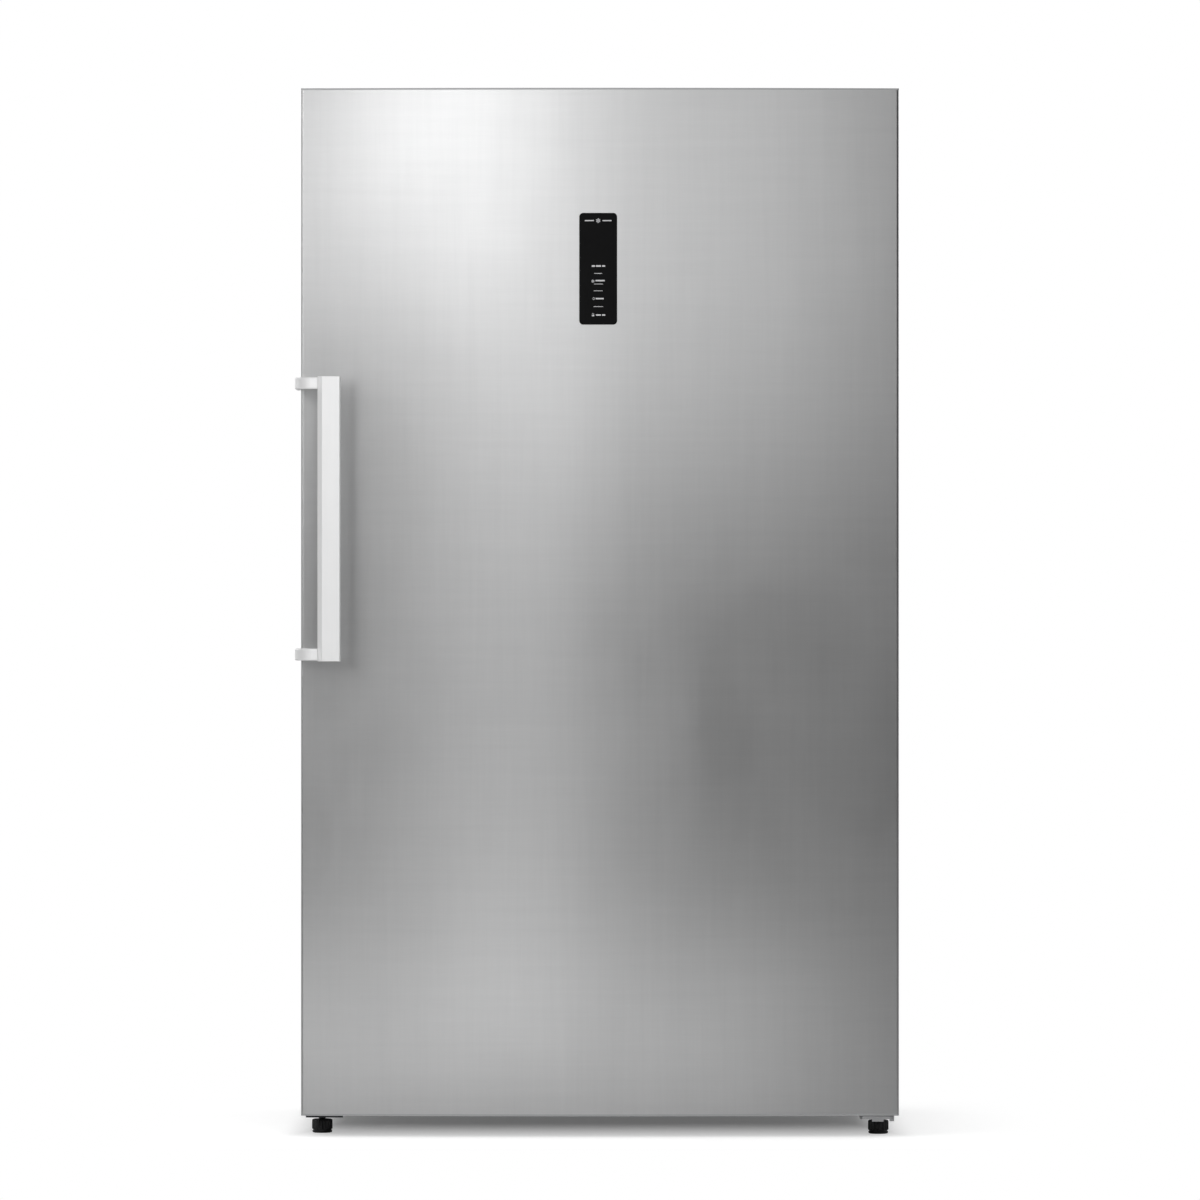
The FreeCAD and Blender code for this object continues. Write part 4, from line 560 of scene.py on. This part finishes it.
def make_gasket():
    """Bellows gasket: a dart base on the door, two soft folds and the magnet pocket at the cabinet."""
    low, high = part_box("door_gasket")
    depth = high.y - low.y
    profile = [((across - GASKET_WIDTH_MM) * MM, low.y + share * depth) for across, share in GASKET_OUTLINE]
    path = rounded_path(low.x, high.x, low.z, high.z, GASKET_CORNER, GASKET_CORNER_STEPS)
    mesh = sweep_ring("gasket_bellows", path, profile)
    new_piece("gasket_bellows", mesh, "gasket_rubber", "door", ["door_gasket"])


# ------------------------------------------------------------ feet, rollers
FOOT_STEPS = 160
FOOT_RIBS = 20
FOOT_RIB_HEIGHT = 0.8 * MM
FOOT_OUTLINE = (
    # mm in from the rim, mm over the floor, share of the ribs' wave
    (3.0, 0.0, 0), (1.2, 0.5, 0), (0.5, 1.6, 0), (0.5, 3.4, 0), (1.6, 4.0, 0), (1.6, 4.8, 0),
    (0.8, 5.6, 1.0), (0.8, 17.6, 1.0), (1.4, 18.7, 0.8), (2.4, 19.3, 0),
)
STUD_RADIUS = 4.9 * MM
STUD_COLLAR, STUD_COLLAR_TOP = 3 * MM, 19.5 * MM
STUD_END_CHAMFER = 0.6 * MM
THREAD_START, THREAD_PITCH, THREAD_DEPTH = 20.0 * MM, 1.5 * MM, 0.5 * MM
ROLLER_STEPS = 72
ROLLER_BORE = 3.06 * MM


def rib_wave(turn):
    return FOOT_RIB_HEIGHT * math.cos(FOOT_RIBS * turn)


def make_feet():
    """Levelling feet with a soft sole, a ribbed grip round the rim and the threaded stud."""
    for node in ("foot_left", "foot_right"):
        low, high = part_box(node)
        centre = ((low.x + high.x) / 2, (low.y + high.y) / 2, 0)
        rim = (high.x - low.x) / 2
        outline = [(0.0, low.z)]
        outline += [(rim - inset * MM, low.z + up * MM, share) for inset, up, share in FOOT_OUTLINE]
        outline.append((STUD_RADIUS + STUD_COLLAR, STUD_COLLAR_TOP))
        level = THREAD_START
        while level + THREAD_PITCH < high.z:
            outline += [(STUD_RADIUS - THREAD_DEPTH, level), (STUD_RADIUS, level + THREAD_PITCH / 2)]
            level += THREAD_PITCH
        outline += [(STUD_RADIUS - STUD_END_CHAMFER, high.z), (0.0, high.z)]
        mesh = lathe(node + "_ribbed", outline, centre, "Z", FOOT_STEPS, rib_wave)
        new_piece(node + "_ribbed", mesh, "black_plastic", node, [node])


def make_rollers():
    """Rear rollers with a crowned tread and dished sides."""
    for node in ("roller_left", "roller_right"):
        low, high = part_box(node)
        centre = (0, (low.y + high.y) / 2, (low.z + high.z) / 2)
        tread = (high.z - low.z) / 2
        side = [
            # radius, way in from the roller's side face
            (ROLLER_BORE, 0.0), (ROLLER_BORE + 3 * MM, 0.0), (ROLLER_BORE + 3.6 * MM, 1.2 * MM),
            (tread - 4 * MM, 1.2 * MM), (tread - 3 * MM, 0.0), (tread - 1.0 * MM, 0.3 * MM),
            (tread - 0.3 * MM, 1.2 * MM), (tread, 2.6 * MM),
        ]
        outline = [(radius, low.x + inset) for radius, inset in side]
        outline += [(radius, high.x - inset) for radius, inset in reversed(side)]
        outline.append(outline[0])
        mesh = lathe(node + "_wheel", outline, centre, "X", ROLLER_STEPS)
        new_piece(node + "_wheel", mesh, "black_plastic", node, [node])


# ------------------------------------------------------------ panel marks
INK_THICKNESS = 0.04 * MM
MM_PER_ROW = 1.3864      # of the photo, at the door
DOOR_FOOT_MM = 30        # the door's lower edge over the floor
DOOR_FOOT_ROW = 1116.3   # and in the photo
ROWS = {
    # the marks' pixel rows in the photo, from the top down
    "header": 220.6, "key_1": 266.0, "dash_1": 273.4,
    "key_2": 280.6, "key_2_flake": 281.2, "key_2_line": 284.0, "dash_2": 290.8,
    "key_3": 298.6, "dash_3": 306.6,
    "key_4_bow": 314.2, "key_4": 315.0, "key_4_lock": 315.6,
}
FLAKES = (
    # row, mm right of the panel's middle, length of an arm, width of a line
    ("header", 0.0, 3.4, 0.55), ("key_2_flake", -7.4, 2.3, 0.45),
)
RINGS = (
    # row, mm right of the panel's middle, inner radius, width of the line
    ("key_3", -6.2, 1.1, 0.5), ("key_4_bow", -7.2, 0.9, 0.45),
)
BARS = (
    # row, mm right of the panel's middle, width, height
    ("header", -12.2, 12.5, 1.5), ("header", 12.2, 12.5, 1.5),
    ("key_1", -6.6, 4.6, 2.2), ("key_1", 0.4, 7.0, 2.2), ("key_1", 7.6, 4.0, 2.2),
    ("dash_1", 0.0, 11.0, 0.75), ("dash_2", 0.0, 12.4, 0.75), ("dash_3", 0.0, 13.0, 0.75),
    ("key_2", 2.6, 12.6, 2.0), ("key_2_line", 0.4, 12.0, 0.7),
    ("key_3", 2.0, 11.0, 1.9),
    ("key_4_lock", -7.2, 3.2, 1.9), ("key_4", 0.2, 6.8, 1.9), ("key_4", 7.4, 4.4, 1.9),
)
FLAKE_FIRST_ARM, FLAKE_ARM_STEP, FLAKE_BARB_LEAN = (math.radians(angle) for angle in (30, 60, 32))
FLAKE_BARB_SHARE = 0.62    # a barb's place along the arm, and its length, as a share of the arm
RING_STEPS = 16


def make_marks():
    """Plain printed marks on the touch panel: a flake between bars, dashes, and simple key signs."""
    low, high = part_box("panel_fascia")
    middle_x = (low.x + high.x) / 2
    shape = bmesh.new()

    def slab(spots):
        face = [shape.verts.new((x, low.y - INK_THICKNESS, z)) for x, z in spots]
        rear = [shape.verts.new((x, low.y + INK_THICKNESS, z)) for x, z in spots]
        shape.faces.new(face)
        shape.faces.new(rear[::-1])
        for side in range(len(spots)):
            nxt = (side + 1) % len(spots)
            shape.faces.new((face[side], rear[side], rear[nxt], face[nxt]))

    def bar(x, z, width, height, turn=0.0):
        spots = []
        for sx, sz in ((-1, -1), (1, -1), (1, 1), (-1, 1)):
            dx, dz = sx * width / 2, sz * height / 2
            spots.append((
                x + dx * math.cos(turn) - dz * math.sin(turn),
                z + dx * math.sin(turn) + dz * math.cos(turn),
            ))
        slab(spots)

    def ring(x, z, radius, width):
        for step in range(RING_STEPS):
            a, b = (2 * math.pi * (step + k) / RING_STEPS for k in (0, 1))
            slab([
                (x + r * math.cos(t), z + r * math.sin(t))
                for r, t in ((radius, a), (radius + width, a), (radius + width, b), (radius, b))
            ])

    def flake(x, z, reach, width):
        for arm in range(3):
            turn = FLAKE_FIRST_ARM + FLAKE_ARM_STEP * arm
            bar(x, z, 2 * reach, width, turn)
            for end in (-1, 1):
                tip = FLAKE_BARB_SHARE * reach * end
                tip_x, tip_z = x + tip * math.cos(turn), z + tip * math.sin(turn)
                for lean in (FLAKE_BARB_LEAN * end, -FLAKE_BARB_LEAN * end):
                    bar(tip_x, tip_z, width, FLAKE_BARB_SHARE * reach, turn + lean)

    for draw, marks in ((flake, FLAKES), (bar, BARS), (ring, RINGS)):
        for row, across, first, second in marks:
            z = (DOOR_FOOT_MM + (DOOR_FOOT_ROW - ROWS[row]) * MM_PER_ROW) * MM
            draw(middle_x + across * MM, z, first * MM, second * MM)
    mesh = finish_mesh("panel_marks", shape)
    new_piece("panel_marks", mesh, "panel_black", "door", material=printed_ink("panel_ink"))


# ----------------------------------------------------------- machine bay
WIRE_RADIUS = 0.8 * MM
WIRE_PITCH = 9 * MM
WIRE_SIDES = 8
WIRE_MARGIN = 20 * MM    # from the coil's side to the first wire
WIRE_SUNK = 0.3 * MM     # from the coil's top or bottom to a wire's middle
WIRE_SHORT = 1 * MM      # from the coil's front or back to a wire's end


def make_condenser_wires():
    """Fine wires welded across the condenser's tubes, above and below them."""
    low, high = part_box("condenser_coil")
    shape = bmesh.new()
    count = int((high.x - low.x - 2 * WIRE_MARGIN) / WIRE_PITCH)
    length = high.y - low.y - 2 * WIRE_SHORT
    for number in range(count):
        x = low.x + WIRE_MARGIN + number * WIRE_PITCH
        for level in (low.z + WIRE_SUNK, high.z - WIRE_SUNK):
            made = bmesh.ops.create_cone(
                shape, segments=WIRE_SIDES, radius1=WIRE_RADIUS, radius2=WIRE_RADIUS,
                depth=length, cap_ends=True,
            )
            middle = Vector((x, (low.y + high.y) / 2, level))
            for vert in made["verts"]:
                vert.co = Vector((vert.co.x, vert.co.z, vert.co.y)) + middle
    mesh = finish_mesh("condenser_wires", shape)
    new_piece("condenser_wires", mesh, "coil_steel", "cabinet")


# ------------------------------------------------------------------- floor
WHITE = 1.0
FLOOR_RADIUS = 7.0
FLOOR_SEGMENTS = 96
FLOOR_FADE = (-0.03, 0.22)      # metres outside the freezer's plan where the floor turns white
SHADOW_LIFT = (0.12, 0.62)      # light added to the floor in the darkest shadow and out of it
LIFT_REACH_X = (-0.06, 0.03)    # metres outside the freezer's sides where the lift grows
LIFT_REACH_Y = (0.13, 0.55)     # metres before or behind DARKEST_Y where the lift grows
DARKEST_Y = 0.17


def floor_material():
    """Pale floor that keeps the shadow, lifts it away from the freezer and fades to white."""
    f = Finish("floor", specular_ior_level=0.2)
    speck = f.noise(220)
    f.colour(f.blend(speck, (0.80, 0.80, 0.80), (0.82, 0.82, 0.82)))
    f.rough(f.ranged(speck, 0.65, 0.8))
    axes = f.axes()
    rays = f.add("ShaderNodeLightPath")
    seen = f.math("MAXIMUM", rays.outputs["Is Camera Ray"], rays.outputs["Is Transmission Ray"])
    outside = []
    for name, low, high in zip("XY", *CAD_BOX):
        from_middle = f.math("ABSOLUTE", f.math("SUBTRACT", axes[name], (low + high) / 2))
        outside.append(f.math("SUBTRACT", from_middle, (high - low) / 2))
    from_dark = f.math("ABSOLUTE", f.math("SUBTRACT", axes["Y"], DARKEST_Y))
    lift_x = f.ranged(outside[0], *SHADOW_LIFT, *LIFT_REACH_X, smooth=True)
    lift_y = f.ranged(from_dark, *SHADOW_LIFT, *LIFT_REACH_Y, smooth=True)
    lift = f.add("ShaderNodeEmission")
    f.link(f.math("MULTIPLY", seen, f.math("MAXIMUM", lift_x, lift_y)), lift.inputs["Strength"])
    lit = f.add("ShaderNodeAddShader")
    f.link(f.shader.outputs[0], lit.inputs[0])
    f.link(lift.outputs[0], lit.inputs[1])
    white = f.add("ShaderNodeEmission")
    white.inputs["Strength"].default_value = WHITE
    far = f.ranged(f.math("MAXIMUM", *outside), 0.0, 1.0, *FLOOR_FADE, smooth=True)
    pick = f.add("ShaderNodeMixShader")
    f.link(f.math("MULTIPLY", far, seen), pick.inputs[0])
    f.link(lit.outputs[0], pick.inputs[1])
    f.link(white.outputs[0], pick.inputs[2])
    f.link(pick.outputs[0], f.tree.nodes["Material Output"].inputs["Surface"])
    return f.material


def make_floor():
    """A large disc under the freezer."""
    shape = bmesh.new()
    bmesh.ops.create_circle(shape, cap_ends=True, radius=FLOOR_RADIUS, segments=FLOOR_SEGMENTS)
    mesh = bpy.data.meshes.new("floor")
    shape.to_mesh(mesh)
    shape.free()
    mesh.materials.append(floor_material())
    floor = bpy.data.objects.new("floor", mesh)
    bpy.context.scene.collection.objects.link(floor)


# ------------------------------------------------------------- room, lamps
AMBIENT = 0.34              # the room's light on matt surfaces
ROOM_FRONT = 0.015          # what a glossy surface mirrors of the room before the freezer
ROOM_TURN = (0.05, 0.55)    # how far a mirrored ray points to +Y where the room goes from that to white
FRONT_AIM = (0, -0.33, 0.75)
REAR_AIM = (0, 0.1, 0.7)
LAMPS = (
    # name, place, aimed at, width, height, radiance
    ("key", (-1.55, -2.25, 1.66), FRONT_AIM, 1.25, 1.80, 2.45),
    ("upper", (-0.30, -1.16, 1.43), FRONT_AIM, 0.40, 0.50, 1.64),
    ("fill", (0.17, -1.61, 1.45), FRONT_AIM, 0.96, 1.22, 0.84),
    ("middle_strip", (-0.17, -1.10, 0.71), FRONT_AIM, 0.29, 1.07, 0.56),
    ("low_strip", (-0.14, -1.19, 0.10), FRONT_AIM, 1.21, 0.14, 1.20),
    ("rear_left", (-2.6, 2.6, 2.2), REAR_AIM, 1.8, 1.8, 1.3),
    ("rear_right", (2.6, 2.6, 2.2), REAR_AIM, 1.8, 1.8, 1.0),
)


def make_world():
    """White to the camera and through glass, even to matt surfaces, and dark in front to glossy ones."""
    world = bpy.data.worlds.new("studio")
    world.use_nodes = True
    tree = world.node_tree
    background = tree.nodes["Background"]
    background.inputs["Color"].default_value = (1, 1, 1, 1)
    place = tree.nodes.new("ShaderNodeTexCoord")
    axes = tree.nodes.new("ShaderNodeSeparateXYZ")
    tree.links.new(place.outputs["Generated"], axes.inputs[0])
    room = tree.nodes.new("ShaderNodeMapRange")
    room.interpolation_type = "SMOOTHSTEP"
    tree.links.new(axes.outputs["Y"], room.inputs["Value"])
    room.inputs["From Min"].default_value, room.inputs["From Max"].default_value = ROOM_TURN
    room.inputs["To Min"].default_value, room.inputs["To Max"].default_value = ROOM_FRONT, WHITE
    rays = tree.nodes.new("ShaderNodeLightPath")

    def mix(fac, low, high):
        node = tree.nodes.new("ShaderNodeMix")
        tree.links.new(fac, node.inputs["Factor"])
        for slot, value in zip(MIX_NUMBERS, (low, high)):
            if isinstance(value, float):
                node.inputs[slot].default_value = value
            else:
                tree.links.new(value, node.inputs[slot])
        return node.outputs[MIX_NUMBER_RESULT]

    level = mix(rays.outputs["Is Glossy Ray"], AMBIENT, room.outputs["Result"])
    level = mix(rays.outputs["Is Transmission Ray"], level, WHITE)
    level = mix(rays.outputs["Is Camera Ray"], level, WHITE)
    tree.links.new(level, background.inputs["Strength"])
    bpy.context.scene.world = world


def make_lamps():
    """Soft boxes. An area lamp of power P and area A has a radiance of P / (pi A)."""
    for name, place, aim, width, height, radiance in LAMPS:
        data = bpy.data.lights.new(name, "AREA")
        data.shape = "RECTANGLE"
        data.size, data.size_y = width, height
        data.energy = radiance * math.pi * width * height
        lamp = bpy.data.objects.new(name, data)
        lamp.location = place
        lamp.rotation_mode = "QUATERNION"
        lamp.rotation_quaternion = (Vector(aim) - Vector(place)).to_track_quat("-Z", "Y")
        lamp.visible_camera = False
        bpy.context.scene.collection.objects.link(lamp)


bpy.context.scene.view_settings.view_transform = "Standard"
make_camera()
paint_nodes()
make_gasket()
make_feet()
make_rollers()
make_marks()
make_condenser_wires()
make_floor()
make_world()
make_lamps()
